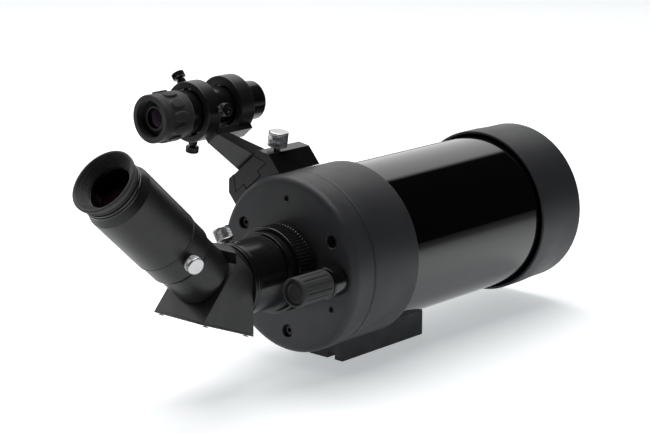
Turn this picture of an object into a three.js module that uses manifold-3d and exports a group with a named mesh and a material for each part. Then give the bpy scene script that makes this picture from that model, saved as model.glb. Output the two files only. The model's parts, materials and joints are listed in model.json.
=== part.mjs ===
// A 90 mm Maksutov-Cassegrain spotting telescope with a 45 degree erecting diagonal,
// a 1.25 inch eyepiece, a small finder on a sliding bracket and a dovetail bar.
//
// Millimetres. The telescope points along +Y, +X is its right seen from behind, +Z is up.
// The origin is the centre of the dovetail bar's flat underside.
import * as THREE from "three";
import { mergeVertices } from "three/addons/utils/BufferGeometryUtils.js";
import Module from "manifold-3d";

const wasm = await Module();
wasm.setup();

// ---------------------------------------------------------------- driving dimensions
const GAP = 0.3; // clearance between pieces that rest on each other
const APERTURE_R = 45; // clear aperture, 90 mm across

const TUBE_R = 51;
const TUBE_WALL = 1.5;
const CELL_R = 54.8; // rear cover and rear cell
const EDGE_R = 4; // rounding of the cover's rear edge
const COVER_Y = 18; // seam between the cover and the cell; y = 0 is the cover's back face
const CELL_FRONT_Y = 60;
const RIM_Y = 190; // rear rim of the front cell
const FRONT_Y = 234.2; // front face of the front cell
const FRONT_R = 54.3;

const BAR_HALF_WIDTH = 20;
const BAR_BOTTOM = -63.7; // height of the bar's underside below the optical axis
const BAR_TOP = -47;
const BAR_REAR_Y = 28.6;
const BAR_FRONT_Y = 108.4;

const HUB_R = 23.2; // rear port of the cell
const WEB_REAR_Y = COVER_Y + GAP;
const WEB_FRONT_Y = 24;
const BAFFLE_R = 14.6;
const MIRROR_BACK_Y = 58.4;
const MIRROR_R = 46;
const MIRROR_HOLE_R = 18.9;
const MIRROR_CURVE_R = 450;
const LENS_BACK_CURVE_R = 130;
const LENS_FRONT_CURVE_R = 125;
const LENS_BACK_Y = FRONT_Y - 24.4; // centre of the corrector's rear surface
const LENS_THICKNESS = 8.1;

const SCREW_CIRCLE_R = 41.4; // cover screws and set screws
const FOCUS_X = 40.3;
const FOCUS_Z = -1.7;
const SHAFT_R = 2.5;

const BARREL_R = 15.87; // 1.25 inch eyepiece and diagonal barrels
const BARREL_BORE_R = 16.15;
const BACK_R = 22; // visual back
const BACK_END_Y = -45;
const ELBOW_Y = -63.6; // where the diagonal's two axes meet
const ERECT_ANGLE = 43; // between the eyepiece axis and the telescope's axis, degrees
const HOUSING_HALF_WIDTH = 20;
const SOCKET_FACE = 11.7; // distance from the elbow to the housing's sloping face
const SOCKET_TOP = 50;
const NECK_R = 18.2; // lower part of the eyepiece socket
const BODY_R = 20.4; // eyepiece body

const FINDER_ANGLE = 40; // the finder stands this far left of the top, degrees
const FINDER_HEIGHT = 113; // finder axis above the optical axis
const FINDER_R = 12.4; // front part of the finder tube
const FINDER_REAR_R = 13.6;
const RING_R = 18.9;
const REAR_RING = [-11, 0];
const FRONT_RING = [18, 29.5];
const SHOE = [10, 46.7]; // rear and front ends of the finder shoe
const FINDER_SCREW_Y = -3;
const FINDER_SCREW_ANGLES = [2, 122, 230]; // clockwise from the outermost point of the ring, degrees

const FINE = 36; // facets round the big shells: whole facets fit the 40 degree lean of the finder
const MEDIUM = 20;
const COARSE = 14;
const SMALL = 10;

const rad = THREE.MathUtils.degToRad;

// ---------------------------------------------------------------- materials
function paint(color, roughness, metalness = 0) {
  return new THREE.MeshStandardMaterial({ color, roughness, metalness });
}
const finish = {
  casting: () => paint(0x34353a, 0.55),
  tubePaint: () => paint(0x060606, 0.08),
  blackMetal: () => paint(0x17171a, 0.35, 0.4),
  satinBlack: () => paint(0x1d1e21, 0.45),
  rubber: () => paint(0x3a3b3d, 0.8),
  plastic: () => paint(0x2a2b2d, 0.6),
  chrome: () => paint(0xd8d9dc, 0.15, 1),
  steel: () => paint(0x8f9094, 0.3, 1),
  darkSteel: () => paint(0x1c1c1e, 0.35, 0.8),
  mirror: () => paint(0xe6e8ea, 0.03, 1),
  glass: () => paint(0x9fb4c8, 0.02),
};

// ---------------------------------------------------------------- geometry helpers
// Shared vertices merged, empty triangles dropped, faces turned outwards.
function closed(geometry) {
  const bare = geometry.clone();
  bare.deleteAttribute("normal");
  bare.deleteAttribute("uv");
  const merged = mergeVertices(bare, 1e-4);
  const at = merged.getAttribute("position");
  const corner = (i) => new THREE.Vector3().fromBufferAttribute(at, i);
  const kept = [];
  let volume = 0;
  for (let i = 0; i < merged.index.count; i += 3) {
    const [a, b, c] = [0, 1, 2].map((k) => merged.index.getX(i + k));
    if (a === b || b === c || c === a) continue;
    kept.push(a, b, c);
    volume += corner(a).dot(corner(b).cross(corner(c)));
  }
  if (volume < 0) kept.reverse();
  merged.setIndex(kept);
  return merged;
}

function solidOf(geometry) {
  const shape = closed(geometry);
  return new wasm.Manifold(
    new wasm.Mesh({
      numProp: 3,
      vertProperties: new Float32Array(shape.getAttribute("position").array),
      triVerts: new Uint32Array(shape.index.array),
    }),
  );
}

function geometryOf(solid) {
  const mesh = solid.getMesh();
  const geometry = new THREE.BufferGeometry();
  geometry.setAttribute("position", new THREE.BufferAttribute(mesh.vertProperties, 3));
  geometry.setIndex(new THREE.BufferAttribute(mesh.triVerts, 1));
  return geometry;
}

function join(first, ...others) {
  const sum = others.reduce((body, other) => body.add(solidOf(other)), solidOf(first));
  return geometryOf(sum);
}

function cut(base, ...tools) {
  const rest = tools.reduce((body, tool) => body.subtract(solidOf(tool)), solidOf(base));
  return geometryOf(rest);
}

function common(first, second) {
  return geometryOf(solidOf(first).intersect(solidOf(second)));
}

// A profile of [radius, y] points turned about the y axis. One that doesn't start and
// end on the axis is a ring, and is closed on itself.
function turned(profile, facets) {
  const points = profile.map(([r, y]) => new THREE.Vector2(r, y));
  const onAxis = profile[0][0] === 0 && profile.at(-1)[0] === 0;
  if (!onAxis) points.push(points[0].clone());
  return closed(new THREE.LatheGeometry(points, facets));
}

// A ring of rectangular section.
function ring(inner, outer, from, to, facets) {
  const section = [
    [inner, from],
    [outer, from],
    [outer, to],
    [inner, to],
  ];
  return turned(section, facets);
}

// A plain rod along y.
function rod(radius, from, to, facets = SMALL) {
  const geometry = new THREE.CylinderGeometry(radius, radius, to - from, facets);
  return geometry.translate(0, (from + to) / 2, 0);
}

// A rod along z.
function pillar(radius, from, to, facets = SMALL) {
  return rod(radius, from, to, facets).rotateX(Math.PI / 2);
}

function block(x, y, z) {
  const geometry = new THREE.BoxGeometry(x[1] - x[0], y[1] - y[0], z[1] - z[0]);
  return geometry.translate((x[0] + x[1]) / 2, (y[0] + y[1]) / 2, (z[0] + z[1]) / 2);
}

function outline(points) {
  return new THREE.Shape(points.map(([a, b]) => new THREE.Vector2(a, b)));
}

// An outline of [x, z] points drawn out along y.
function alongY(points, from, to) {
  const geometry = new THREE.ExtrudeGeometry(outline(points), {
    depth: to - from,
    bevelEnabled: false,
  });
  return geometry.rotateX(Math.PI / 2).translate(0, to, 0);
}

// An outline of [y, z] points drawn out along x, the same distance each way.
function alongX(points, halfWidth) {
  const geometry = new THREE.ExtrudeGeometry(outline(points), {
    depth: 2 * halfWidth,
    bevelEnabled: false,
  });
  const turn = new THREE.Matrix4().set(0, 0, 1, -halfWidth, 1, 0, 0, 0, 0, 1, 0, 0, 0, 0, 0, 1);
  return geometry.applyMatrix4(turn);
}

// Points of a quarter round from one angle to another, in degrees.
function quarter(centreR, centreY, radius, fromAngle, toAngle, steps = 3) {
  return Array.from({ length: steps + 1 }, (_, i) => {
    const angle = rad(fromAngle + ((toAngle - fromAngle) * i) / steps);
    return [centreR + radius * Math.cos(angle), centreY + radius * Math.sin(angle)];
  });
}

// Points [r, y] of a shallow dish: y rises by r squared over twice its curve.
function dish(centreY, curve, fromR, toR, steps = 4) {
  return Array.from({ length: steps + 1 }, (_, i) => {
    const r = fromR + ((toR - fromR) * i) / steps;
    return [r, centreY + (r * r) / (2 * curve)];
  });
}

function mirrored(points) {
  return [...points, ...points.toReversed().map(([x, z]) => [-x, z])];
}

function piece(name, geometry, material) {
  const mesh = new THREE.Mesh(geometry, material());
  geometry.computeVertexNormals();
  mesh.name = name;
  return mesh;
}

// Three places on a circle about the optical axis, starting at an angle from +X.
function circlePlaces(radius, start) {
  return [0, 120, 240].map((step) => {
    const angle = rad(start + step);
    return [radius * Math.cos(angle), radius * Math.sin(angle)];
  });
}
const coverScrewPlaces = circlePlaces(SCREW_CIRCLE_R, 30);
const setScrewPlaces = circlePlaces(SCREW_CIRCLE_R, 90);

function at(place, geometry) {
  return geometry.translate(place[0], 0, place[1]);
}

// A socket head cap screw along y, with its head's face at y = 0 and its shank towards +y.
function capScrew(headR, headLength, shankR, length, socketR) {
  const blank = turned(
    [
      [0, 0],
      [headR - 0.3, 0],
      [headR, 0.3],
      [headR, headLength],
      [shankR, headLength],
      [shankR, length],
      [0, length],
    ],
    12,
  );
  return cut(blank, rod(socketR, -1, headLength * 0.6, 6));
}

// A thumbscrew along y: its tip at y = 0, then the shank, and a domed head.
function thumbscrew(shankR, headFrom, headTo, headR) {
  const chamfer = 0.8;
  return turned(
    [
      [0, 0],
      [shankR, 0],
      [shankR, headFrom],
      [headR - chamfer, headFrom],
      [headR, headFrom + chamfer],
      [headR, headTo - chamfer],
      [headR - chamfer, headTo],
      [0, headTo],
    ],
    COARSE,
  );
}

// ---------------------------------------------------------------- optical tube
const SCREW_BOSS_R = 6;
const COUNTERBORE_R = 3.9;
const COUNTERBORE_Y = 6;
const SCREW_HOLE_R = 2.1;
const SET_BOSS_R = 3.5;
const SET_HOLE_R = 1.6;

function rearCover() {
  const shell = turned(
    [
      [HUB_R + 0.4, 0],
      ...quarter(CELL_R - EDGE_R, EDGE_R, EDGE_R, -90, 0),
      [CELL_R, COVER_Y - 0.6],
      [CELL_R - 0.6, COVER_Y],
      [CELL_R - 3.3, COVER_Y],
      [CELL_R - 3.3, 5.5],
      [CELL_R - 4.8, 4],
      [HUB_R + 0.4, 4],
    ],
    FINE,
  );
  const bosses = [
    ...coverScrewPlaces.map((place) => at(place, rod(SCREW_BOSS_R, 2, COVER_Y))),
    ...setScrewPlaces.map((place) => at(place, rod(SET_BOSS_R, 2, 10))),
  ];
  const holes = [
    ...coverScrewPlaces.map((place) => at(place, rod(COUNTERBORE_R, -1, COUNTERBORE_Y, 14))),
    ...coverScrewPlaces.map((place) => at(place, rod(SCREW_HOLE_R, -1, COVER_Y + 1))),
    ...setScrewPlaces.map((place) => at(place, rod(SET_HOLE_R, -1, 11, 12))),
    rod(5.4, -1, 6).translate(FOCUS_X, 0, FOCUS_Z),
  ];
  return cut(join(shell, ...bosses), ...holes);
}

function rearCell() {
  const bore = TUBE_R + 0.4;
  const shell = turned(
    [
      [BAFFLE_R + 0.8, -3],
      [HUB_R, -3],
      [HUB_R, WEB_REAR_Y],
      [CELL_R - 0.6, WEB_REAR_Y],
      [CELL_R, WEB_REAR_Y + 0.6],
      [CELL_R, CELL_FRONT_Y - 1],
      [CELL_R - 1, CELL_FRONT_Y],
      [bore, CELL_FRONT_Y],
      [bore, 30],
      [bore - 3.4, 30],
      [bore - 3.4, WEB_FRONT_Y],
      [BAFFLE_R + 0.8, WEB_FRONT_Y],
    ],
    FINE,
  );
  const holes = [
    ...coverScrewPlaces.map((place) => at(place, rod(SCREW_HOLE_R, 17, 25))),
    rod(5.4, 17, 25).translate(FOCUS_X, 0, FOCUS_Z),
    ...BAR_SCREWS_Y.map((y) => pillar(2.3, -60, -50).translate(0, y, 0)),
    ...SHOE_SCREWS_X.map((x) => inFinderFrame(pillar(2.1, 48, 60).translate(x, SHOE_SCREW_Y, 0))),
  ];
  return cut(shell, ...holes);
}

function frontCell() {
  const pocket = APERTURE_R + 2.4;
  const bore = TUBE_R + GAP;
  return turned(
    [
      [bore + 1.3, RIM_Y],
      [FRONT_R - 0.7, RIM_Y],
      [FRONT_R, RIM_Y + 0.8],
      [FRONT_R, RIM_Y + 16],
      [FRONT_R - 0.6, RIM_Y + 28],
      ...quarter(FRONT_R - 5.8, FRONT_Y - 5, 5, 10, 90),
      [pocket + 0.6, FRONT_Y],
      [pocket, FRONT_Y - 0.6],
      [pocket, FRONT_Y - 17],
      [APERTURE_R, FRONT_Y - 17],
      [APERTURE_R, FRONT_Y - 19.7],
      [bore, FRONT_Y - 19.7],
      [bore, RIM_Y + 7],
      [bore + 1.3, RIM_Y + 5.7],
    ],
    FINE,
  );
}

function corrector() {
  const rim = APERTURE_R + 2;
  return turned(
    [
      ...dish(LENS_BACK_Y, LENS_BACK_CURVE_R, 0, rim),
      ...dish(LENS_BACK_Y + LENS_THICKNESS, LENS_FRONT_CURVE_R, 0, rim).toReversed(),
    ],
    FINE,
  );
}

// The aluminised spot on the back of the corrector, and the tube that shades it.
const SPOT_R = 13.5;
function secondaryMirror() {
  return turned(
    [
      ...dish(LENS_BACK_Y - GAP - 0.6, LENS_BACK_CURVE_R, 0, SPOT_R, 2),
      ...dish(LENS_BACK_Y - GAP, LENS_BACK_CURVE_R, 0, SPOT_R, 2).toReversed(),
    ],
    MEDIUM,
  );
}

function secondaryBaffle() {
  const top = LENS_BACK_Y + (SPOT_R + 1) ** 2 / (2 * LENS_BACK_CURVE_R) - GAP;
  return turned(
    [
      [SPOT_R + 1, top],
      [SPOT_R + 2, top],
      [SPOT_R + 3.5, top - 21],
      [SPOT_R + 2.5, top - 21],
    ],
    MEDIUM,
  );
}

function baffleTube() {
  return turned(
    [
      [BAFFLE_R - 1.4, 2],
      [BAFFLE_R + 0.4, 2],
      [BAFFLE_R + 0.4, WEB_FRONT_Y + GAP],
      [BAFFLE_R + 4.4, WEB_FRONT_Y + GAP],
      [BAFFLE_R + 4.4, 27],
      [BAFFLE_R, 27],
      [BAFFLE_R, 84],
      [BAFFLE_R - 3.1, 125],
      [BAFFLE_R - 4, 125],
      [BAFFLE_R - 1.4, 82],
    ],
    MEDIUM,
  );
}

function focusBushing() {
  return turned(
    [
      [SHAFT_R + GAP, -11],
      [8.8, -11],
      [9.6, -10.2],
      [9.6, -GAP],
      [5, -GAP],
      [5, WEB_FRONT_Y - 0.5],
      [SHAFT_R + GAP, WEB_FRONT_Y - 0.5],
    ],
    COARSE,
  );
}

// The visual back: the tube behind the knurled ring that takes 1.25 inch barrels.
const BACK_SCREW_Y = -39;
const BACK_SCREW_ANGLE = 32; // left of the top, degrees
function visualBack() {
  const shell = turned(
    [
      [BARREL_BORE_R, BACK_END_Y],
      [BACK_R - 0.6, BACK_END_Y],
      [BACK_R, BACK_END_Y + 0.6],
      [BACK_R, -21.5],
      [BACK_R + 2.2, -21.5],
      [BACK_R + 2.2, -3 - GAP],
      [BARREL_BORE_R, -3 - GAP],
    ],
    MEDIUM,
  );
  const hole = pillar(2.2, 10, 30).translate(0, BACK_SCREW_Y, 0);
  return cut(shell, hole.rotateY(-rad(BACK_SCREW_ANGLE)));
}

function visualBackRing() {
  const bore = BACK_R + 2.6;
  return turned(
    [
      [bore, -16],
      [25.9, -16],
      [26.5, -15.4],
      [26.5, -4],
      [25.9, -3.4],
      [bore, -3.4],
    ],
    FINE,
  );
}

// ---------------------------------------------------------------- dovetail bar
const BAR_SCREWS_Y = [38, 53];
const BAR_SCREW_SEAT_Z = -58.3;
const BAR_SCREW_HEAD = 3.2;
const TRIPOD_HOLES_Y = [82, 96];
function dovetailBar() {
  const w = BAR_HALF_WIDTH;
  const corner = 3;
  const plan = [
    [-w, BAR_REAR_Y],
    [w, BAR_REAR_Y],
    ...quarter(w - corner, BAR_FRONT_Y - corner, corner, 0, 90),
    ...quarter(corner - w, BAR_FRONT_Y - corner, corner, 90, 180),
  ];
  const bar = new THREE.ExtrudeGeometry(outline(plan), {
    depth: BAR_TOP - BAR_BOTTOM,
    bevelEnabled: false,
  }).translate(0, 0, BAR_BOTTOM);
  const grooves = [-1, 1].map((side) =>
    block([side * 10.5 - 3, side * 10.5 + 3], [BAR_REAR_Y - 1, 46], [BAR_BOTTOM - 1, -58.5]),
  );
  return cut(
    bar,
    rod(CELL_R + GAP, BAR_REAR_Y - 1, CELL_FRONT_Y + GAP, FINE),
    rod(TUBE_R + GAP, CELL_FRONT_Y - 1, BAR_FRONT_Y + 1, FINE),
    ...grooves,
    ...BAR_SCREWS_Y.map((y) => pillar(4, BAR_BOTTOM - 1, BAR_SCREW_SEAT_Z).translate(0, y, 0)),
    ...BAR_SCREWS_Y.map((y) => pillar(2.3, -59, -54).translate(0, y, 0)),
    ...TRIPOD_HOLES_Y.map((y) => pillar(3.2, BAR_BOTTOM - 1, -54).translate(0, y, 0)),
  );
}

// ---------------------------------------------------------------- moving mirror and focuser
function primaryMirror() {
  const face = (r) => 69 + (r * r) / (2 * MIRROR_CURVE_R);
  return turned(
    [
      [MIRROR_HOLE_R, MIRROR_BACK_Y],
      [MIRROR_R, MIRROR_BACK_Y],
      [MIRROR_R, face(MIRROR_R)],
      [MIRROR_R * 0.8, face(MIRROR_R * 0.8)],
      [MIRROR_R * 0.6, face(MIRROR_R * 0.6)],
      [MIRROR_HOLE_R, face(MIRROR_HOLE_R)],
    ],
    FINE,
  );
}

function mirrorCarrier() {
  const hub = MIRROR_HOLE_R - 0.4;
  const bore = BAFFLE_R + GAP;
  const spool = turned(
    [
      [bore, 44],
      [hub, 44],
      [hub, 54],
      [43, 54],
      [43, 58],
      [hub, 58],
      [hub, 76],
      [bore, 76],
    ],
    MEDIUM,
  );
  const arm = rod(5.6, 36, 57, COARSE).translate(FOCUS_X, 0, FOCUS_Z);
  const thread = rod(SHAFT_R + GAP, 35, 56, COARSE).translate(FOCUS_X, 0, FOCUS_Z);
  return cut(join(spool, arm), thread);
}

function focusShaft() {
  return turned(
    [
      [0, -33.8],
      [SHAFT_R, -33.8],
      [SHAFT_R, 24.2],
      [4.2, 24.2],
      [4.2, 25.8],
      [SHAFT_R, 25.8],
      [SHAFT_R, 49.5],
      [0, 49.5],
    ],
    COARSE,
  );
}

const KNOB_END_Y = -37.5;
const KNOB_FRONT_Y = -11.5;
function knobCore() {
  return turned(
    [
      [0, KNOB_END_Y + 0.6],
      [7.2, KNOB_END_Y + 0.6],
      [7.2, KNOB_END_Y + 2.6],
      [6, KNOB_END_Y + 2.6],
      [6, KNOB_FRONT_Y],
      [SHAFT_R + GAP, KNOB_FRONT_Y],
      [SHAFT_R + GAP, -34.1],
      [0, -34.1],
    ],
    COARSE,
  );
}

function knobGrip() {
  return turned(
    [
      [7.5, KNOB_END_Y],
      [8.1, KNOB_END_Y],
      [8.8, KNOB_END_Y + 0.9],
      [8.8, KNOB_FRONT_Y - 0.6],
      [8.3, KNOB_FRONT_Y],
      [6.3, KNOB_FRONT_Y],
      [6.3, KNOB_END_Y + 3],
      [7.5, KNOB_END_Y + 3],
    ],
    COARSE,
  );
}

// ---------------------------------------------------------------- erecting diagonal
// Its side view is drawn in the plane x = 0. The eyepiece axis leaves the elbow along
// `rise`; `slope` runs up the sloping face, square to it.
const rise = [-Math.cos(rad(ERECT_ANGLE)), Math.sin(rad(ERECT_ANGLE))];
const slope = [rise[1], -rise[0]];
const BASE_TILT = ERECT_ANGLE / 2; // the reflecting roof halves the angle
const HOUSING_FRONT_Y = -50;
const BASE_FRONT_Z = -29.5;
const BASE_THICKNESS = 1.2;

// The point at a distance along the eyepiece axis and along the sloping face.
function elbowPoint(alongRise, alongSlope) {
  return [
    ELBOW_Y + alongRise * rise[0] + alongSlope * slope[0],
    alongRise * rise[1] + alongSlope * slope[1],
  ];
}

// Where a plane square to the eyepiece axis meets one parallel to the base, in the side view.
function lowerCorner(alongRise, aboveBase) {
  const tan = Math.tan(rad(BASE_TILT));
  const z0 = BASE_FRONT_Z + aboveBase / Math.cos(rad(BASE_TILT));
  // rise . (y - elbow, z) = alongRise, with z = z0 - tan * (y - front)
  const constant = alongRise + rise[0] * ELBOW_Y - rise[1] * (z0 + tan * HOUSING_FRONT_Y);
  const y = constant / (rise[0] - rise[1] * tan);
  return [y, z0 - tan * (y - HOUSING_FRONT_Y)];
}

function onBase(aboveBase) {
  return [HOUSING_FRONT_Y, BASE_FRONT_Z + aboveBase / Math.cos(rad(BASE_TILT))];
}

const HOUSING_TOP_Z = 23.5;
const TOP_REAR_R = 30.5; // the housing's top is a cone about the optical axis: square at the rear,
const TOP_FRONT_R = 21.5; // round at the front
const STEP_Y = -63.7; // the short upright face above the sloping one
const BASE_SCREW_INSET = 5;

// What stands outside the coned top, drawn in by the given inset.
function topCorners(inset) {
  const rear = STEP_Y - 0.1;
  const front = HOUSING_FRONT_Y + 1;
  const cone = turned(
    [
      [0, rear - 1],
      [TOP_REAR_R - inset, rear - 1],
      [TOP_REAR_R - inset, STEP_Y],
      [TOP_FRONT_R - inset, HOUSING_FRONT_Y],
      [TOP_FRONT_R - inset, front + 1],
      [0, front + 1],
    ],
    FINE,
  );
  return cut(block([-25, 25], [rear, front], [0, 40]), cone);
}

function housing() {
  const lift = BASE_THICKNESS + GAP;
  const wall = 2.5;
  const faceTop = (y) => (SOCKET_FACE - rise[0] * (y - ELBOW_Y)) / rise[1];
  const side = [
    onBase(lift),
    [HOUSING_FRONT_Y, HOUSING_TOP_Z],
    [STEP_Y, HOUSING_TOP_Z],
    [STEP_Y, faceTop(STEP_Y)],
    lowerCorner(SOCKET_FACE, lift),
  ];
  const room = [
    [HOUSING_FRONT_Y - wall, BASE_FRONT_Z - 8],
    [HOUSING_FRONT_Y - wall, HOUSING_TOP_Z - wall],
    elbowPoint(SOCKET_FACE - wall, 18),
    lowerCorner(SOCKET_FACE - wall, -8),
  ];
  const socketSeat = rod(NECK_R + GAP, SOCKET_FACE, 40, MEDIUM);
  const exitHole = rod(14, 4, SOCKET_FACE + 1, COARSE);
  const screwHoles = baseScrewPlaces().map((place) => baseScrewAt(place, rod(1.1, -8, 8, 10)));
  return cut(
    alongX(side, HOUSING_HALF_WIDTH),
    topCorners(0),
    cut(alongX(room, HOUSING_HALF_WIDTH - 3.6), topCorners(wall)),
    inEyepieceFrame(socketSeat),
    inEyepieceFrame(exitHole),
    rod(13.5, HOUSING_FRONT_Y - wall - 1, HOUSING_FRONT_Y + 1, COARSE),
    ...screwHoles,
  );
}

// The roof prism: a five-sided block whose lower face is a 90 degree roof.
function prism() {
  const clear = 4.2;
  const side = [
    [-53, 14],
    elbowPoint(SOCKET_FACE - 3.4, 13.5),
    lowerCorner(SOCKET_FACE - 3.4, clear),
    [-53, onBase(clear)[1] + 3 * Math.tan(rad(BASE_TILT))],
  ];
  const half = 14;
  const roof = alongY(mirrored([[0, 0], [half, half], [half, 60]]), -60, 60);
  roof.rotateX(-rad(BASE_TILT)).translate(0, side[3][0], side[3][1]);
  return cut(common(alongX(side, half), roof), topCorners(3.7));
}

function basePlate() {
  const rear = lowerCorner(SOCKET_FACE, 0);
  const side = [onBase(0), rear, lowerCorner(SOCKET_FACE, BASE_THICKNESS), onBase(BASE_THICKNESS)];
  const holes = baseScrewPlaces().map((place) => baseScrewAt(place, rod(1.1, -3, 3, 10)));
  return cut(alongX(side, HOUSING_HALF_WIDTH), ...holes);
}

// The base plate's four screws, near its corners: [x, y, z] on the plate's underside.
function baseScrewPlaces() {
  const front = onBase(0);
  const rear = lowerCorner(SOCKET_FACE, 0);
  const dy = BASE_SCREW_INSET * Math.cos(rad(BASE_TILT));
  const dz = BASE_SCREW_INSET * Math.sin(rad(BASE_TILT));
  const x = HOUSING_HALF_WIDTH - 1.8;
  return [-x, x].flatMap((sideX) => [
    [sideX, rear[0] + dy, rear[1] - dz],
    [sideX, front[0] - dy, front[1] + dz],
  ]);
}

// Stands a piece drawn along +y up from the plate's underside, into the housing.
function baseScrewAt([x, y, z], geometry) {
  return geometry.rotateX(Math.PI / 2 - rad(BASE_TILT)).translate(x, y, z);
}

function baseScrew() {
  return turned(
    [
      [0, -0.9],
      [1.3, -0.9],
      [1.7, -GAP],
      [0.8, -GAP],
      [0.8, 5],
      [0, 5],
    ],
    12,
  );
}

function nosepiece() {
  const front = -24;
  return turned(
    [
      [13.9, HOUSING_FRONT_Y + GAP],
      [BARREL_R, HOUSING_FRONT_Y + GAP],
      [BARREL_R, front - 0.6],
      [BARREL_R - 0.6, front],
      [13.9, front],
    ],
    MEDIUM,
  );
}

function diagonalCollar() {
  const outer = 22.6;
  return turned(
    [
      [BARREL_BORE_R, HOUSING_FRONT_Y + GAP],
      [outer - 0.5, HOUSING_FRONT_Y + GAP],
      [outer, HOUSING_FRONT_Y + 0.8],
      [outer, -48.2],
      [outer - 0.9, -47.6],
      [outer, -47],
      [outer, -45.8],
      [outer - 0.5, -45.4],
      [BARREL_BORE_R, -45.4],
    ],
    MEDIUM,
  );
}

// ---------------------------------------------------------------- eyepiece, drawn along y
const SOCKET_SCREW_Y = 44;
const SOCKET_SCREW_ANGLE = 17; // turned from +X towards the telescope's rear and underside, degrees
function eyepieceSocket() {
  const shell = turned(
    [
      [BARREL_BORE_R, SOCKET_FACE + GAP],
      [NECK_R, SOCKET_FACE + GAP],
      [NECK_R, 33.5],
      [19.7, 36.5],
      [19.7, SOCKET_TOP - 0.6],
      [19.2, SOCKET_TOP],
      [BARREL_BORE_R, SOCKET_TOP],
    ],
    MEDIUM,
  );
  const hole = pillar(2.2, 10, 30).translate(0, SOCKET_SCREW_Y, 0);
  return cut(shell, hole.rotateY(rad(90 - SOCKET_SCREW_ANGLE)));
}

function eyepieceBody() {
  const bottom = SOCKET_TOP + GAP;
  return turned(
    [
      [15.4, bottom],
      [BODY_R - 0.5, bottom],
      [BODY_R, bottom + 0.5],
      [BODY_R, 96.5],
      [18.3, 101.5],
      [17.8, 101.5],
      [17.8, 62],
      [15.4, 60],
    ],
    MEDIUM,
  );
}

function eyepieceBarrel() {
  return turned(
    [
      [14.2, 22],
      [BARREL_R - 0.5, 22],
      [BARREL_R, 22.5],
      [BARREL_R, SOCKET_TOP],
      [15.1, SOCKET_TOP],
      [15.1, 59],
      [14.2, 59],
    ],
    MEDIUM,
  );
}

// A double convex lens.
function lens(radius, rimFrom, rimTo, bulge, facets) {
  const curve = (radius * radius) / (2 * bulge);
  return turned(
    [
      ...dish(rimFrom - bulge, curve, 0, radius, 3),
      ...dish(rimTo + bulge, -curve, 0, radius, 3).toReversed(),
    ],
    facets,
  );
}

function eyepieceTopRing() {
  return turned(
    [
      [13.2, 94.6],
      [17.5, 94.6],
      [17.5, 101.8],
      [18.9, 101.8],
      [18.5, 105],
      [13.2, 105],
    ],
    MEDIUM,
  );
}

function eyecup() {
  return turned(
    [
      [13.4, 105.3],
      [18.2, 105.3],
      [17.6, 107],
      [19.8, 110.6],
      [20, 112.4],
      [19, 112.4],
      [13.4, 106.8],
    ],
    MEDIUM,
  );
}

// ---------------------------------------------------------------- finder shoe and bracket
// Drawn in the finder's own frame: x across, y forward, z out from the optical axis.
const FOOT_TOP_Z = 70.5;
const FOOT_BASE_Z = 61.4;
const STEM_Z = 57.8;
const SHOE_SCREWS_X = [-12.5, 12.5];
const SHOE_SCREW_Y = 32;
const SHOE_THUMB_Y = 22;
const BEVEL = [
  [22.5, 64.2],
  [16.8, 70.7],
];

function finderShoe() {
  const right = [
    [8.2, 57.3],
    [8.2, 61],
    [17.6, 61],
    [11.6, 70.7],
    BEVEL[1],
    BEVEL[0],
    [22.5, 50],
  ];
  const body = alongY(mirrored(right), SHOE[0], SHOE[1]);
  const screwHoles = SHOE_SCREWS_X.flatMap((x) => [
    pillar(3.3, 57.4, 63).translate(x, SHOE_SCREW_Y, 0),
    pillar(2.1, 45, 60).translate(x, SHOE_SCREW_Y, 0),
  ]);
  const thumbHole = alongBevel(rod(2.2, -10, 12, COARSE));
  return cut(body, rod(CELL_R + GAP, 0, 60, FINE), ...screwHoles, thumbHole);
}

// Turns a piece drawn along +y square to the shoe's right bevel, with y = 0 on its surface.
function alongBevel(geometry) {
  const tilt = Math.atan2(BEVEL[1][1] - BEVEL[0][1], BEVEL[0][0] - BEVEL[1][0]);
  const midX = (BEVEL[0][0] + BEVEL[1][0]) / 2;
  const midZ = (BEVEL[0][1] + BEVEL[1][1]) / 2;
  return geometry.rotateX(Math.PI / 2).rotateY(tilt).translate(midX, SHOE_THUMB_Y, midZ);
}

function finderBracket() {
  const foot = mirrored([
    [7.8, STEM_Z],
    [7.8, FOOT_BASE_Z],
    [17.2, FOOT_BASE_Z],
    [11.2, FOOT_TOP_Z],
  ]);
  const arm = [
    [15, FOOT_TOP_Z - 1],
    [28.3, FOOT_TOP_Z - 1],
    [25, 74],
    [6.5, 92],
    [-2.4, 92],
  ];
  const taper = mirrored([
    [9.6, FOOT_TOP_Z - 2],
    [9.6, FOOT_TOP_Z],
    [5.6, 93],
  ]);
  const rings = [REAR_RING, FRONT_RING].map(([from, to]) =>
    rod(RING_R, from, to, MEDIUM).translate(0, 0, FINDER_HEIGHT),
  );
  const frame = join(
    alongY(foot, SHOE[0], 45),
    common(alongX(arm, 10), alongY(taper, -10, 40)),
    block([-5.5, 5.5], [REAR_RING[1] - 3, FRONT_RING[1] - 1], [91.5, 96]),
    ...rings,
  );
  const screwHoles = FINDER_SCREW_ANGLES.map((angle) => finderScrewAt(angle, rod(2, 10, 22, COARSE)));
  return cut(
    frame,
    rod(14.8, REAR_RING[0] - 1, 8, MEDIUM).translate(0, 0, FINDER_HEIGHT),
    rod(FINDER_R + 0.9, 8, FRONT_RING[1] + 1, MEDIUM).translate(0, 0, FINDER_HEIGHT),
    ...screwHoles,
  );
}

// Turns a piece drawn along +y outward from the finder axis, in the rear ring's middle.
function finderScrewAt(angle, geometry) {
  return geometry
    .rotateX(Math.PI / 2)
    .rotateY(rad(angle))
    .translate(0, FINDER_SCREW_Y, FINDER_HEIGHT);
}

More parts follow.
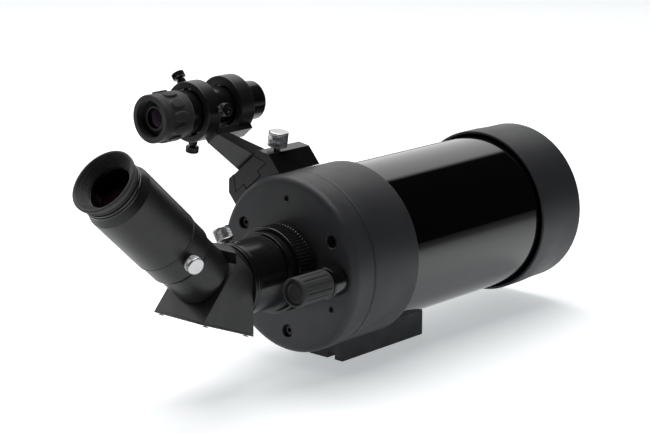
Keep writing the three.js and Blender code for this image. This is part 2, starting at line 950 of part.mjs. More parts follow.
function finderScrew() {
  return turned(
    [
      [0, FINDER_REAR_R + GAP],
      [1.6, FINDER_REAR_R + GAP],
      [1.6, RING_R + 1],
      [2.8, RING_R + 1],
      [2.8, RING_R + 3],
      [2, RING_R + 3.6],
      [2, RING_R + 4.2],
      [4.1, RING_R + 4.8],
      [4.1, RING_R + 7.8],
      [3.6, RING_R + 8.4],
      [0, RING_R + 8.4],
    ],
    COARSE,
  );
}

// ---------------------------------------------------------------- finder, drawn along y
const FINDER_FRONT_Y = 46.5;
const GRIP_END_Y = -42.6;
function finderTube() {
  const bore = FINDER_R - 1.4;
  return turned(
    [
      [bore, GRIP_END_Y + 10],
      [FINDER_REAR_R, GRIP_END_Y + 10],
      [FINDER_REAR_R, 5],
      [FINDER_R, 6.5],
      [FINDER_R, 31],
      [FINDER_R - 0.5, 32],
      [FINDER_R - 0.5, FINDER_FRONT_Y - 0.6],
      [FINDER_R - 1, FINDER_FRONT_Y],
      [bore, FINDER_FRONT_Y],
    ],
    MEDIUM,
  );
}

function finderGrip() {
  return turned(
    [
      [11.6, GRIP_END_Y],
      [14.2, GRIP_END_Y],
      [14.9, GRIP_END_Y + 0.7],
      [14.9, GRIP_END_Y + 4],
      [14.4, GRIP_END_Y + 4.8],
      [15.4, GRIP_END_Y + 6],
      [15.4, -19.6],
      [14.6, -18.4],
      [FINDER_REAR_R + GAP, -18.4],
      [FINDER_REAR_R + GAP, GRIP_END_Y + 8.6],
      [11.6, GRIP_END_Y + 8.6],
    ],
    MEDIUM,
  );
}

function finderEyeCell() {
  return turned(
    [
      [6.3, GRIP_END_Y + 4],
      [7.8, GRIP_END_Y + 4],
      [8.4, GRIP_END_Y + 5.4],
      [11.3, GRIP_END_Y + 6],
      [11.3, GRIP_END_Y + 8.2],
      [10.7, GRIP_END_Y + 8.2],
      [10.7, -20],
      [9, -20],
      [9, GRIP_END_Y + 9],
      [8.2, GRIP_END_Y + 9],
      [8.2, GRIP_END_Y + 5.5],
      [6.3, GRIP_END_Y + 4.8],
    ],
    MEDIUM,
  );
}

// ---------------------------------------------------------------- frames of the side assemblies
function inFinderFrame(geometry) {
  return geometry.rotateY(-rad(FINDER_ANGLE));
}

function inEyepieceFrame(geometry) {
  return geometry.rotateX(rad(180 - ERECT_ANGLE)).translate(0, ELBOW_Y, 0);
}

// ---------------------------------------------------------------- the assembly
const telescope = new THREE.Group();
const tube = new THREE.Group();
tube.position.set(0, -(BAR_REAR_Y + BAR_FRONT_Y) / 2, -BAR_BOTTOM);
telescope.add(tube);

tube.add(
  piece("rear_cover", rearCover(), finish.casting),
  piece("rear_cell", rearCell(), finish.casting),
  piece("main_tube", ring(TUBE_R - TUBE_WALL, TUBE_R, 30.4, FRONT_Y - 20, FINE), finish.tubePaint),
  piece("front_cell", frontCell(), finish.casting),
  piece("corrector_lens", corrector(), finish.glass),
  piece("corrector_retainer", ring(45.6, 47.1, FRONT_Y - 7.1, FRONT_Y - 3.7, FINE), finish.blackMetal),
  piece("secondary_mirror", secondaryMirror(), finish.mirror),
  piece("secondary_baffle", secondaryBaffle(), finish.satinBlack),
  piece("baffle_tube", baffleTube(), finish.satinBlack),
  piece("dovetail_bar", dovetailBar(), finish.blackMetal),
  piece("visual_back", visualBack(), finish.blackMetal),
  piece("visual_back_ring", visualBackRing(), finish.blackMetal),
  piece("primary_mirror", primaryMirror(), finish.mirror),
  piece("mirror_carrier", mirrorCarrier(), finish.steel),
  piece("mirror_retainer", ring(18.8, 23, 70.2, 73, MEDIUM), finish.blackMetal),
);

coverScrewPlaces.forEach((place, i) => {
  const screw = piece(`cover_screw_${i + 1}`, capScrew(3.5, 3.6, 1.8, 21, 1.5), finish.darkSteel);
  screw.position.set(place[0], COUNTERBORE_Y - 3.6 - GAP, place[1]);
  tube.add(screw);
});
setScrewPlaces.forEach((place, i) => {
  const screw = cut(rod(1.3, 0, 8, 12), rod(0.7, -1, 1.5, 6));
  const mesh = piece(`set_screw_${i + 1}`, screw, finish.darkSteel);
  mesh.position.set(place[0], 1.4, place[1]);
  tube.add(mesh);
});
BAR_SCREWS_Y.forEach((y, i) => {
  const geometry = capScrew(3.5, BAR_SCREW_HEAD, 2, 10, 1.5);
  const screw = piece(`bar_screw_${i + 1}`, geometry, finish.darkSteel);
  screw.rotation.x = Math.PI / 2;
  screw.position.set(0, y, BAR_SCREW_SEAT_Z - BAR_SCREW_HEAD - GAP);
  tube.add(screw);
});

// The focuser stands beside the visual back, on its own axis.
const focuser = new THREE.Group();
focuser.position.set(FOCUS_X, 0, FOCUS_Z);
tube.add(focuser);
focuser.add(
  piece("focus_bushing", focusBushing(), finish.blackMetal),
  piece("focus_shaft", focusShaft(), finish.steel),
  piece("focus_knob_core", knobCore(), finish.plastic),
  piece("focus_knob_grip", knobGrip(), finish.rubber),
);

const backScrew = piece("visual_back_thumbscrew", thumbscrew(1.9, 7.6, 16.2, 5.5), finish.chrome);
backScrew.rotation.set(Math.PI / 2, 0, 0);
const backScrewArm = new THREE.Group();
backScrewArm.rotation.y = -rad(BACK_SCREW_ANGLE);
backScrewArm.position.y = BACK_SCREW_Y;
backScrew.position.z = BARREL_R + 0.5;
backScrewArm.add(backScrew);
tube.add(backScrewArm);

tube.add(
  piece("diagonal_nosepiece", nosepiece(), finish.chrome),
  piece("diagonal_collar", diagonalCollar(), finish.blackMetal),
  piece("diagonal_housing", housing(), finish.satinBlack),
  piece("diagonal_prism", prism(), finish.glass),
  piece("diagonal_base_plate", basePlate(), finish.satinBlack),
);
baseScrewPlaces().forEach((place, i) => {
  const geometry = baseScrewAt(place, baseScrew());
  tube.add(piece(`base_plate_screw_${i + 1}`, geometry, finish.steel));
});

// The eyepiece and its socket stand on the elbow, along the rising axis.
const rising = new THREE.Group();
rising.position.y = ELBOW_Y;
rising.rotation.x = rad(180 - ERECT_ANGLE);
tube.add(rising);
rising.add(
  piece("eyepiece_socket", eyepieceSocket(), finish.satinBlack),
  piece("eyepiece_body", eyepieceBody(), finish.satinBlack),
  piece("eyepiece_barrel", eyepieceBarrel(), finish.chrome),
  piece("field_lens", lens(17.4, 67, 71.5, 2.2, MEDIUM), finish.glass),
  piece("lens_spacer", ring(14.2, 17.4, 72.6, 89.5, MEDIUM), finish.satinBlack),
  piece("eye_lens", lens(15, 90, 94, 1.8, MEDIUM), finish.glass),
  piece("eyepiece_top_ring", eyepieceTopRing(), finish.blackMetal),
  piece("eyecup", eyecup(), finish.rubber),
);
const socketScrewArm = new THREE.Group();
socketScrewArm.rotation.y = rad(90 - SOCKET_SCREW_ANGLE);
socketScrewArm.position.y = SOCKET_SCREW_Y;
const socketScrew = piece("socket_thumbscrew", thumbscrew(1.9, 5.4, 10.7, 5.1), finish.chrome);
socketScrew.rotation.x = Math.PI / 2;
socketScrew.position.z = BARREL_R + 0.5;
socketScrewArm.add(socketScrew);
rising.add(socketScrewArm);

// The finder assembly leans to the left of the tube's top.
const leaning = new THREE.Group();
leaning.rotation.y = -rad(FINDER_ANGLE);
tube.add(leaning);
leaning.add(
  piece("finder_shoe", finderShoe(), finish.blackMetal),
  piece("finder_bracket", finderBracket(), finish.satinBlack),
);
SHOE_SCREWS_X.forEach((x, i) => {
  const screw = piece(`shoe_screw_${i + 1}`, capScrew(2.9, 2.6, 1.8, 8.5, 1.3), finish.darkSteel);
  screw.rotation.x = -Math.PI / 2;
  screw.position.set(x, SHOE_SCREW_Y, 60.5);
  leaning.add(screw);
});
const shoeThumb = alongBevel(thumbscrew(1.9, 6.8, 16.5, 6.2).translate(0, -4.8, 0));
leaning.add(piece("shoe_thumbscrew", shoeThumb, finish.chrome));
FINDER_SCREW_ANGLES.forEach((angle, i) => {
  const geometry = finderScrewAt(angle, finderScrew());
  leaning.add(piece(`finder_screw_${i + 1}`, geometry, finish.blackMetal));
});

const finder = new THREE.Group();
finder.position.z = FINDER_HEIGHT;
leaning.add(finder);
finder.add(
  piece("finder_tube", finderTube(), finish.tubePaint),
  piece("finder_objective", lens(10.6, 41, 43, 1.2, MEDIUM), finish.glass),
  piece("finder_oring", ring(FINDER_R + 0.05, FINDER_R + 0.55, 22.7, 23.9, MEDIUM), finish.rubber),
  piece("finder_grip", finderGrip(), finish.rubber),
  piece("finder_eye_cell", finderEyeCell(), finish.plastic),
  piece("finder_eye_lens", lens(7.9, GRIP_END_Y + 6, GRIP_END_Y + 7.6, 0.5, COARSE), finish.glass),
);

export default telescope;
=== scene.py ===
"""The look of the telescope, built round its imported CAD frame.

Shapes are drawn in millimetres in the local frame of the piece they belong to, and stand in the
CAD's own frame in metres. Places and overall sizes are read from the CAD nodes and joints. Walls,
bores, edge radii and surface detail are given here.
"""

import json
import math

import bmesh
import bpy
from mathutils import Matrix, Vector

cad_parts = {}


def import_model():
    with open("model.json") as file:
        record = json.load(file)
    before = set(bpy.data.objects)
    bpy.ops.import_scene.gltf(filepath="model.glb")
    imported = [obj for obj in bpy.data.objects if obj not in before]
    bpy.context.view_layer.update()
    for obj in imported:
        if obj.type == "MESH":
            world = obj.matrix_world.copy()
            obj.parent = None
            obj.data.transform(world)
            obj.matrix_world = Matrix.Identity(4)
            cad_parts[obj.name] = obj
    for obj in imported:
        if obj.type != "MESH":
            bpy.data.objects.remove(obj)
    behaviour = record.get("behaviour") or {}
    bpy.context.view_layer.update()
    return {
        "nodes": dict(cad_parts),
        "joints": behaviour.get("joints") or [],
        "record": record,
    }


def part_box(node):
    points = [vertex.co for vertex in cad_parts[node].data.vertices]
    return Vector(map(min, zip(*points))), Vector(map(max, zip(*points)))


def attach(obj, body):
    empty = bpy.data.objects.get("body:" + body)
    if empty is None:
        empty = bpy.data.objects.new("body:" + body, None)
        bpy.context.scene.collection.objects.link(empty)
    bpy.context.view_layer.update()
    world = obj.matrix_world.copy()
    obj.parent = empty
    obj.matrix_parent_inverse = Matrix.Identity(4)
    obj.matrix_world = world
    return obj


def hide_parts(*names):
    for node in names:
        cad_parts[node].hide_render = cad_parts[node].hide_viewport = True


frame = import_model()

MM = 0.001
TURN = 2 * math.pi
TINY = 1e-6
SHARP = math.radians(32)
X = Vector((1, 0, 0))
Y = Vector((0, 1, 0))
Z = Vector((0, 0, 1))

scene = bpy.context.scene
joints = {joint["name"]: joint for joint in frame["joints"]}
body_of = {}
for body_name, members in frame["record"]["behaviour"]["bodies"].items():
    for member in members:
        body_of[member] = body_name
slot_of = {part["node"]: part["material_slot"] for part in frame["record"]["subparts"]}


# ---------------------------------------------------------------- places
def place_at(origin, forward, across):
    """The local frame whose y axis runs along forward and whose x axis runs along across."""
    y = forward.normalized()
    x = (across - across.dot(y) * y).normalized()
    z = x.cross(y)
    return Matrix.Translation(origin) @ Matrix((x, y, z)).transposed().to_4x4()


def place_along(origin, forward):
    """The same, with any direction across."""
    across = X if abs(forward.x) < 0.7 else Y
    return place_at(origin, forward, across)


def shifted(place, x=0, y=0, z=0):
    return place @ Matrix.Translation(Vector((x, y, z)) * MM)


def centre(node):
    low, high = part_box(node)
    return (low + high) / 2


def joint_line(name):
    return Vector(joints[name]["pos_m"]), Vector(joints[name]["axis"])


AXIS = Vector((centre("rear_cover").x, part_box("rear_cover")[0].y, centre("rear_cover").z))
TUBE = place_at(AXIS, Y, X)

# The finder leans round the optical axis; its tilt axis lies across it.
tilt_point, tilt_axis = joint_line("finder_tilt")
LEAN = place_at(AXIS, Y, tilt_axis)
FINDER_HEIGHT = (tilt_point - AXIS).dot(tilt_axis.cross(Y)) / MM
FINDER = shifted(LEAN, z=FINDER_HEIGHT)

# The socket's thumbscrew points at the eyepiece's axis, which meets the optical axis at the elbow.
screw_point, screw_axis = joint_line("socket_screw_turn")
RISE = Vector(joints["eyepiece_slide"]["axis"])
on_eyepiece_axis = screw_point - screw_axis * (screw_point.x - AXIS.x) / screw_axis.x
ELBOW = on_eyepiece_axis - RISE * (on_eyepiece_axis.z - AXIS.z) / RISE.z
EYEPIECE = place_at(ELBOW, RISE, X)
ERECT_ANGLE = math.asin(RISE.z)
BASE_TILT = ERECT_ANGLE / 2

focus_point, _ = joint_line("focus_knob_turn")
FOCUSER = place_at(Vector((focus_point.x, AXIS.y, focus_point.z)), Y, X)


def local_points(node, place):
    """A CAD node's points in a local frame, in millimetres."""
    inverse = place.inverted()
    return [(inverse @ vertex.co) / MM for vertex in frame["nodes"][node].data.vertices]


def reach(node, place=TUBE):
    """A CAD node's outer radius and its rear and front ends along a local frame's y axis."""
    points = local_points(node, place)
    heights = [point.y for point in points]
    return max(math.hypot(point.x, point.z) for point in points), min(heights), max(heights)


def limits(node, place=TUBE):
    """The lowest and highest corners of a CAD node in a local frame."""
    points = local_points(node, place)
    low = Vector([min(point[i] for point in points) for i in range(3)])
    high = Vector([max(point[i] for point in points) for i in range(3)])
    return low, high


def turned_outline(node, place):
    """The (radius, y) outline of a turned CAD node, read along one of its edge lines."""
    points = local_points(node, place)
    radii = [math.hypot(point.x, point.z) for point in points]
    widest = max(range(len(points)), key=lambda i: radii[i])
    heading = math.atan2(points[widest].z, points[widest].x)

    def key(i):
        return (round(radii[i], 3), round(points[i].y, 3))

    def on_line(i):
        if radii[i] < 0.01:
            return True
        turn = math.atan2(points[i].z, points[i].x) - heading
        return abs(math.remainder(turn, TURN)) < 0.01

    next_to = {}
    for edge in frame["nodes"][node].data.edges:
        a, b = edge.vertices
        if not (on_line(a) and on_line(b)) or key(a) == key(b):
            continue
        if radii[a] < 0.01 and radii[b] < 0.01:
            continue
        next_to.setdefault(key(a), set()).add(key(b))
        next_to.setdefault(key(b), set()).add(key(a))
    ends = sorted(spot for spot in next_to if spot[0] < 0.01)
    outline = [ends[0] if ends else min(next_to)]
    while True:
        onward = sorted(spot for spot in next_to[outline[-1]] if spot not in outline)
        if not onward:
            return [(0 if r < 0.01 else r, y) for r, y in outline]
        outline.append(onward[0])


# ---------------------------------------------------------------- shapes
def soft(points, radius=0.3, steps=3):
    """Rounds an outline's corners. A point may carry its own radius as a third number."""
    on_axis = points[0][0] == 0 and points[-1][0] == 0
    rounded = []
    for i, point in enumerate(points):
        here = Vector(point[:2])
        before = Vector(points[i - 1][:2])
        after = Vector(points[(i + 1) % len(points)][:2])
        if on_axis and i in (0, len(points) - 1):
            rounded.append(tuple(here))
            continue
        one = before - here
        two = after - here
        bend = one.angle(two, math.pi)
        wanted = point[2] if len(point) > 2 else radius
        if wanted <= 0 or bend > math.radians(165) or bend < math.radians(5):
            rounded.append(tuple(here))
            continue
        most = 0.42 * min(one.length, two.length)
        along = min(wanted / math.tan(bend / 2), most)
        arc = along * math.tan(bend / 2)
        middle = here + (one.normalized() + two.normalized()).normalized() * arc / math.sin(bend / 2)
        start = here + one.normalized() * along - middle
        end = here + two.normalized() * along - middle
        sweep = start.angle_signed(end)
        for k in range(steps + 1):
            turn = -sweep * k / steps
            spot = middle + Matrix.Rotation(turn, 2) @ start
            rounded.append((max(spot.x, 0), spot.y))
    return rounded


def subdivided(outline, step):
    """Adds points so that no stretch of an outline is longer than step."""
    closed = not (outline[0][0] == 0 and outline[-1][0] == 0)
    dense = []
    for i, (r, y) in enumerate(outline):
        dense.append((r, y))
        if i == len(outline) - 1 and not closed:
            break
        next_r, next_y = outline[(i + 1) % len(outline)]
        parts = math.ceil(math.hypot(next_r - r, next_y - y) / step)
        for k in range(1, parts):
            dense.append((r + (next_r - r) * k / parts, y + (next_y - y) * k / parts))
    return dense


def finished(bm, name):
    bmesh.ops.recalc_face_normals(bm, faces=bm.faces)
    mesh = bpy.data.meshes.new(name)
    bm.to_mesh(mesh)
    bm.free()
    return mesh


def lathe(outline, segments=128, relief=None, step=None):
    """Turns an outline of (radius, y) about the local y axis. relief(angle, r, y) is added to r."""
    rows = subdivided(outline, step) if step else outline
    closed = not (rows[0][0] == 0 and rows[-1][0] == 0)
    bm = bmesh.new()
    rings = []
    for r, y in rows:
        if r < TINY:
            rings.append([bm.verts.new((0, y * MM, 0))])
            continue
        ring = []
        for k in range(segments):
            angle = TURN * k / segments
            radius = (r + (relief(angle, r, y) if relief else 0)) * MM
            ring.append(bm.verts.new((radius * math.cos(angle), y * MM, radius * math.sin(angle))))
        rings.append(ring)
    for i in range(len(rings) - (0 if closed else 1)):
        one = rings[i]
        two = rings[(i + 1) % len(rings)]
        for k in range(segments):
            ahead = k + 1
            corners = (one[k % len(one)], one[ahead % len(one)], two[ahead % len(two)], two[k % len(two)])
            corners = list(dict.fromkeys(corners))
            if len(corners) > 2:
                bm.faces.new(corners)
    return finished(bm, "turned")


def drawn_out(outline, low, high, spot):
    """A closed outline of (a, b) points drawn out from low to high; spot(a, b, t) gives x, y, z."""
    bm = bmesh.new()
    ends = []
    for t in (low, high):
        ends.append([bm.verts.new(Vector(spot(a, b, t)) * MM) for a, b in outline])
    bm.faces.new(ends[0])
    bm.faces.new(ends[1])
    for i in range(len(outline)):
        j = (i + 1) % len(outline)
        bm.faces.new((ends[0][i], ends[0][j], ends[1][j], ends[1][i]))
    return finished(bm, "drawn")


def along_x(outline, half_width):
    return drawn_out(outline, -half_width, half_width, lambda y, z, t: (t, y, z))


def along_y(outline, low, high):
    return drawn_out(outline, low, high, lambda x, z, t: (x, t, z))


def along_z(outline, low, high):
    return drawn_out(outline, low, high, lambda x, y, t: (x, y, t))


def mirrored(points):
    return points + [(-x, z) for x, z in reversed(points)]


def box_outline(low_a, high_a, low_b, high_b):
    return [(low_a, low_b), (high_a, low_b), (high_a, high_b), (low_a, high_b)]


def moved(mesh, matrix):
    mesh.transform(matrix)
    return mesh


def with_modifier(mesh, kind, **settings):
    """A new mesh: the old one with one modifier applied."""
    carrier = bpy.data.objects.new("carrier", mesh)
    scene.collection.objects.link(carrier)
    modifier = carrier.modifiers.new(kind, kind)
    for setting, value in settings.items():
        setattr(modifier, setting, value)
    bpy.context.view_layer.update()
    evaluated = carrier.evaluated_get(bpy.context.evaluated_depsgraph_get())
    result = bpy.data.meshes.new_from_object(evaluated)
    bpy.data.objects.remove(carrier)
    return result


def combined(mesh, operation, *tools):
    for tool in tools:
        holder = bpy.data.objects.new("tool", tool)
        scene.collection.objects.link(holder)
        mesh = with_modifier(mesh, "BOOLEAN", operation=operation, solver="EXACT", object=holder)
        bpy.data.objects.remove(holder)
    return mesh


def cut(mesh, *tools):
    return combined(mesh, "DIFFERENCE", *tools)


def joined(mesh, *tools):
    return combined(mesh, "UNION", *tools)


def bevelled(mesh, width, segments=3, angle=30):
    """Rounds every edge sharper than angle degrees."""
    return with_modifier(
        mesh,
        "BEVEL",
        width=width * MM,
        segments=segments,
        limit_method="ANGLE",
        angle_limit=math.radians(angle),
        use_clamp_overlap=True,
    )


def rod(radius, low, high, segments=64):
    return lathe([(0, low), (radius, low), (radius, high), (0, high)], segments)


def pit(radius, mouth, bottom, chamfer=0.35, segments=64):
    """A cutter for a round hole from its mouth to its bottom, with a chamfered rim."""
    out = -1 if bottom > mouth else 1
    outline = [
        (0, mouth + out),
        (radius + chamfer * 2, mouth + out),
        (radius + chamfer, mouth),
        (radius, mouth - out * chamfer),
        (radius, bottom),
        (0, bottom),
    ]
    return lathe(outline, segments)


UPRIGHT = Matrix.Rotation(math.pi / 2, 4, "X")  # stands a piece drawn along +y along +z


def standing(mesh, x=0, y=0, z=0):
    return moved(mesh, Matrix.Translation(Vector((x, y, z)) * MM) @ UPRIGHT)


def ridge(t):
    """A triangle wave from 0 to 1, with one tooth each 2 pi."""
    return abs((t / math.pi) % 2 - 1)


def fade(t, low, high, width):
    """1 between low and high, falling to 0 at both ends over width."""
    edge = min(t - low, high - t) / width
    edge = min(max(edge, 0), 1)
    return edge * edge * (3 - 2 * edge)


# ---------------------------------------------------------------- materials
class Look:
    """A node material, built up a step at a time."""

    def __init__(self, name, color, roughness, metallic=0.0):
        self.material = bpy.data.materials.new(name)
        self.material.use_nodes = True
        self.nodes = self.material.node_tree.nodes
        self.links = self.material.node_tree.links
        self.shader = self.nodes["Principled BSDF"]
        self.color = color
        self.height = None
        self.set("Base Color", (*color, 1))
        self.set("Roughness", roughness)
        self.set("Metallic", metallic)
        self.coords = self.nodes.new("ShaderNodeTexCoord").outputs["Object"]

    def set(self, name, value):
        self.shader.inputs[name].default_value = value
        return self

    def noise(self, grain, detail=3.0, stretch=(1, 1, 1), roughness=0.55):
        """Noise whose lumps are about grain millimetres across."""
        mapping = self.nodes.new("ShaderNodeMapping")
        mapping.inputs["Scale"].default_value = stretch
        self.links.new(self.coords, mapping.inputs["Vector"])
        texture = self.nodes.new("ShaderNodeTexNoise")
        texture.inputs["Scale"].default_value = 1 / (grain * MM)
        texture.inputs["Detail"].default_value = detail
        texture.inputs["Roughness"].default_value = roughness
        self.links.new(mapping.outputs["Vector"], texture.inputs["Vector"])
        return texture.outputs["Fac"]

    def edges(self, width=0.35):
        """1 along edges, fading to 0 about width millimetres away from them."""
        bevel = self.nodes.new("ShaderNodeBevel")
        bevel.samples = 4
        bevel.inputs["Radius"].default_value = width * MM
        product = self.nodes.new("ShaderNodeVectorMath")
        product.operation = "DOT_PRODUCT"
        self.links.new(bevel.outputs["Normal"], product.inputs[0])
        self.links.new(self.nodes.new("ShaderNodeNewGeometry").outputs["Normal"], product.inputs[1])
        return self.ranged(product.outputs["Value"], 0.985, 0.9, 0, 1)

    def ranged(self, value, low, high, out_low, out_high):
        node = self.nodes.new("ShaderNodeMapRange")
        node.inputs["From Min"].default_value = low
        node.inputs["From Max"].default_value = high
        node.inputs["To Min"].default_value = out_low
        node.inputs["To Max"].default_value = out_high
        self.links.new(value, node.inputs["Value"])
        return node.outputs["Result"]

    def rough(self, value, out_low, out_high, low=0.35, high=0.65):
        self.links.new(self.ranged(value, low, high, out_low, out_high), self.shader.inputs["Roughness"])
        return self

    def tint(self, value, color, low=0.35, high=0.65, amount=1.0):
        """Blends towards another colour where value is high, over what is there already."""
        mix = self.nodes.new("ShaderNodeMix")
        mix.data_type = "RGBA"
        before = self.shader.inputs["Base Color"].links
        if before:
            self.links.new(before[0].from_socket, mix.inputs["A"])
        else:
            mix.inputs["A"].default_value = (*self.color, 1)
        mix.inputs["B"].default_value = (*color, 1)
        self.links.new(self.ranged(value, low, high, 0, amount), mix.inputs["Factor"])
        self.links.new(mix.outputs["Result"], self.shader.inputs["Base Color"])
        return self

    def bump(self, value, depth, strength=1.0):
        """Raises the surface by up to depth millimetres where value is high."""
        node = self.nodes.new("ShaderNodeBump")
        node.inputs["Strength"].default_value = strength
        node.inputs["Distance"].default_value = depth * MM
        self.links.new(value, node.inputs["Height"])
        if self.height:
            self.links.new(self.height, node.inputs["Normal"])
        self.height = node.outputs["Normal"]
        self.links.new(self.height, self.shader.inputs["Normal"])
        return self


def cell_paint():
    """Fine pebbled charcoal paint on the castings."""
    look = Look("cell_paint", (0.030, 0.031, 0.034), 0.5)
    grain = look.noise(0.9, 4, roughness=0.6)
    fine = look.noise(0.45, 2)
    look.rough(look.noise(22, 3), 0.42, 0.52)
    look.tint(fine, (0.044, 0.045, 0.049), 0.4, 0.75)
    look.tint(look.edges(), (0.09, 0.09, 0.095), 0, 1, 0.35)
    look.bump(grain, 0.10)
    look.bump(fine, 0.04)
    look.set("Specular IOR Level", 0.45)
    return look


def tube_paint():
    """Deep gloss black enamel with the faintest ripple."""
    look = Look("tube_paint", (0.0012, 0.0012, 0.0014), 0.05)
    look.rough(look.noise(35, 3), 0.035, 0.075)
    look.tint(look.noise(0.5, 2), (0.002, 0.002, 0.0022), 0.5, 0.8)
    look.bump(look.noise(60, 1), 0.05, 0.3)
    look.set("Coat Weight", 0.6)
    look.set("Coat Roughness", 0.03)
    return look


def black_anodised():
    """Turned aluminium, anodised black: fine tool lines and a satin sheen."""
    look = Look("black_anodised", (0.007, 0.007, 0.008), 0.22)
    lines = look.noise(0.6, 2, stretch=(0.02, 1, 0.02))
    look.rough(look.noise(14, 3), 0.19, 0.22)
    look.tint(lines, (0.012, 0.012, 0.013), 0.4, 0.8)
    look.tint(look.edges(), (0.12, 0.12, 0.125), 0, 1, 0.4)
    look.bump(lines, 0.012, 0.6)
    return look


def satin_black():
    """Sprayed satin black with a light orange peel."""
    look = Look("satin_black", (0.012, 0.012, 0.0125), 0.36)
    peel = look.noise(0.7, 3)
    look.rough(look.noise(12, 3), 0.32, 0.4)
    look.tint(look.noise(5, 4), (0.016, 0.016, 0.0165), 0.45, 0.75)
    look.tint(look.edges(), (0.08, 0.08, 0.085), 0, 1, 0.4)
    look.bump(peel, 0.02, 0.7)
    return look


def bar_black():
    look = Look("bar_black", (0.016, 0.0165, 0.018), 0.5)
    grain = look.noise(0.5, 3)
    look.rough(look.noise(9, 3), 0.44, 0.58)
    look.tint(grain, (0.026, 0.026, 0.028), 0.45, 0.8)
    look.tint(look.edges(), (0.09, 0.09, 0.09), 0, 1, 0.4)
    look.bump(grain, 0.04)
    return look


def rubber():
    """Moulded rubber: matte, slightly dusty."""
    look = Look("rubber", (0.028, 0.0285, 0.030), 0.7)
    grain = look.noise(0.35, 3)
    look.rough(look.noise(8, 3), 0.62, 0.8)
    look.tint(look.noise(4, 4), (0.042, 0.042, 0.044), 0.45, 0.75, 0.7)
    look.bump(grain, 0.03)
    look.set("Sheen Weight", 0.12)
    look.set("Sheen Roughness", 0.5)
    return look


def black_plastic():
    look = Look("black_plastic", (0.018, 0.018, 0.0195), 0.55)
    grain = look.noise(0.4, 3)
    look.rough(look.noise(7, 3), 0.48, 0.62)
    look.tint(grain, (0.026, 0.026, 0.028), 0.45, 0.75)
    look.bump(grain, 0.02)
    return look


def gloss_black():
    look = Look("gloss_black", (0.006, 0.006, 0.007), 0.14)
    lines = look.noise(0.5, 2, stretch=(0.02, 1, 0.02))
    look.rough(look.noise(6, 3), 0.1, 0.2)
    look.tint(look.edges(), (0.08, 0.08, 0.085), 0, 1, 0.3)
    look.bump(lines, 0.006, 0.5)
    look.set("Coat Weight", 0.4)
    return look


def chrome():
    """Bright plate with faint swirls and smears."""
    look = Look("chrome", (0.62, 0.62, 0.63), 0.24, 1.0)
    lines = look.noise(0.3, 2, stretch=(0.03, 1, 0.03))
    look.rough(look.noise(2.5, 4), 0.26, 0.32)
    look.tint(look.noise(3, 3), (0.54, 0.54, 0.56), 0.45, 0.8, 0.4)
    look.bump(lines, 0.006, 0.5)
    return look


def steel():
    look = Look("steel", (0.46, 0.46, 0.47), 0.3, 1.0)
    lines = look.noise(0.35, 2, stretch=(0.03, 1, 0.03))
    look.rough(look.noise(3, 4), 0.24, 0.38)
    look.tint(lines, (0.36, 0.36, 0.37), 0.4, 0.8)
    look.bump(lines, 0.008, 0.6)
    return look


def black_steel():
    """Black oxide, worn a little bright on its edges."""
    look = Look("black_steel", (0.022, 0.021, 0.021), 0.34, 0.8)
    look.rough(look.noise(1.5, 4), 0.28, 0.45)
    look.tint(look.noise(1.2, 3), (0.04, 0.038, 0.037), 0.45, 0.8)
    look.tint(look.edges(), (0.3, 0.3, 0.3), 0, 1, 0.6)
    look.bump(look.noise(0.4, 2), 0.008, 0.5)
    return look


def mirror():
    """Fresh aluminium on glass, with the faintest haze."""
    look = Look("mirror", (0.9, 0.9, 0.91), 0.02, 1.0)
    look.rough(look.noise(18, 3), 0.012, 0.04)
    look.tint(look.noise(30, 3), (0.86, 0.87, 0.9), 0.45, 0.8)
    look.bump(look.noise(25, 1), 0.002, 0.2)
    return look


def glass():
    """Optical glass with a faint green cast and a film of dust."""
    look = Look("glass", (0.95, 0.985, 0.97), 0.0)
    look.set("Transmission Weight", 1.0)
    look.set("IOR", 1.52)
    look.rough(look.noise(6, 4), 0.0, 0.025, 0.5, 0.8)
    look.tint(look.noise(15, 3), (0.9, 0.95, 0.94), 0.45, 0.8)
    look.bump(look.noise(30, 1), 0.002, 0.2)
    return look


def coated_glass():
    """Glass whose coating reflects a deep violet; it is opaque, and the dark that lies behind it is
    painted shade in its base colour.
    """
    look = Look("coated_glass", (0.01, 0.005, 0.012), 0.03)
    look.set("IOR", 1.5)
    look.set("Specular Tint", (0.3, 0.16, 0.42, 1))
    look.rough(look.noise(9, 3), 0.02, 0.05, 0.4, 0.8)
    look.tint(look.noise(14, 1), (0.03, 0.012, 0.02), 0.4, 0.7)
    look.bump(look.noise(18, 1), 0.002, 0.2)
    return look


makers = (
    cell_paint, tube_paint, black_anodised, satin_black, bar_black, rubber, black_plastic,
    gloss_black, chrome, steel, black_steel, mirror, glass, coated_glass,
)
looks = {maker.__name__: maker().material for maker in makers}


def show(node, mesh, place, look=None):
    """Shows a finished mesh in a CAD node's stead, on its body and in its material."""
    piece = bpy.data.objects.new(f"{node}_shape", mesh)
    scene.collection.objects.link(piece)
    piece.matrix_world = place
    mesh.name = piece.name
    mesh.shade_smooth()
    mesh.set_sharp_from_angle(angle=SHARP)
    mesh.materials.clear()
    mesh.materials.append(looks[look or slot_of[node]])
    weighted = piece.modifiers.new("WeightedNormal", "WEIGHTED_NORMAL")
    weighted.keep_sharp = True
    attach(piece, body_of[node])
    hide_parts(node)
    return piece


def show_turned(node, place, segments=128, radius=0.25):
    """A turned CAD node, turned again finely and with its corners rounded."""
    return show(node, lathe(soft(turned_outline(node, place), radius), segments), place)


# ---------------------------------------------------------------- optical tube
COUNTERBORE_DEPTH = 6
CELL_R, COVER_REAR, COVER_FRONT = reach("rear_cover")
HUB_R = 23.2
HUB_REAR = -3


def screw_place(node):
    """A screw that lies along the tube: its own axis, with y still counted from the cover's back."""
    middle = centre(node)
    return place_at(Vector((middle.x, AXIS.y, middle.z)), Y, X)


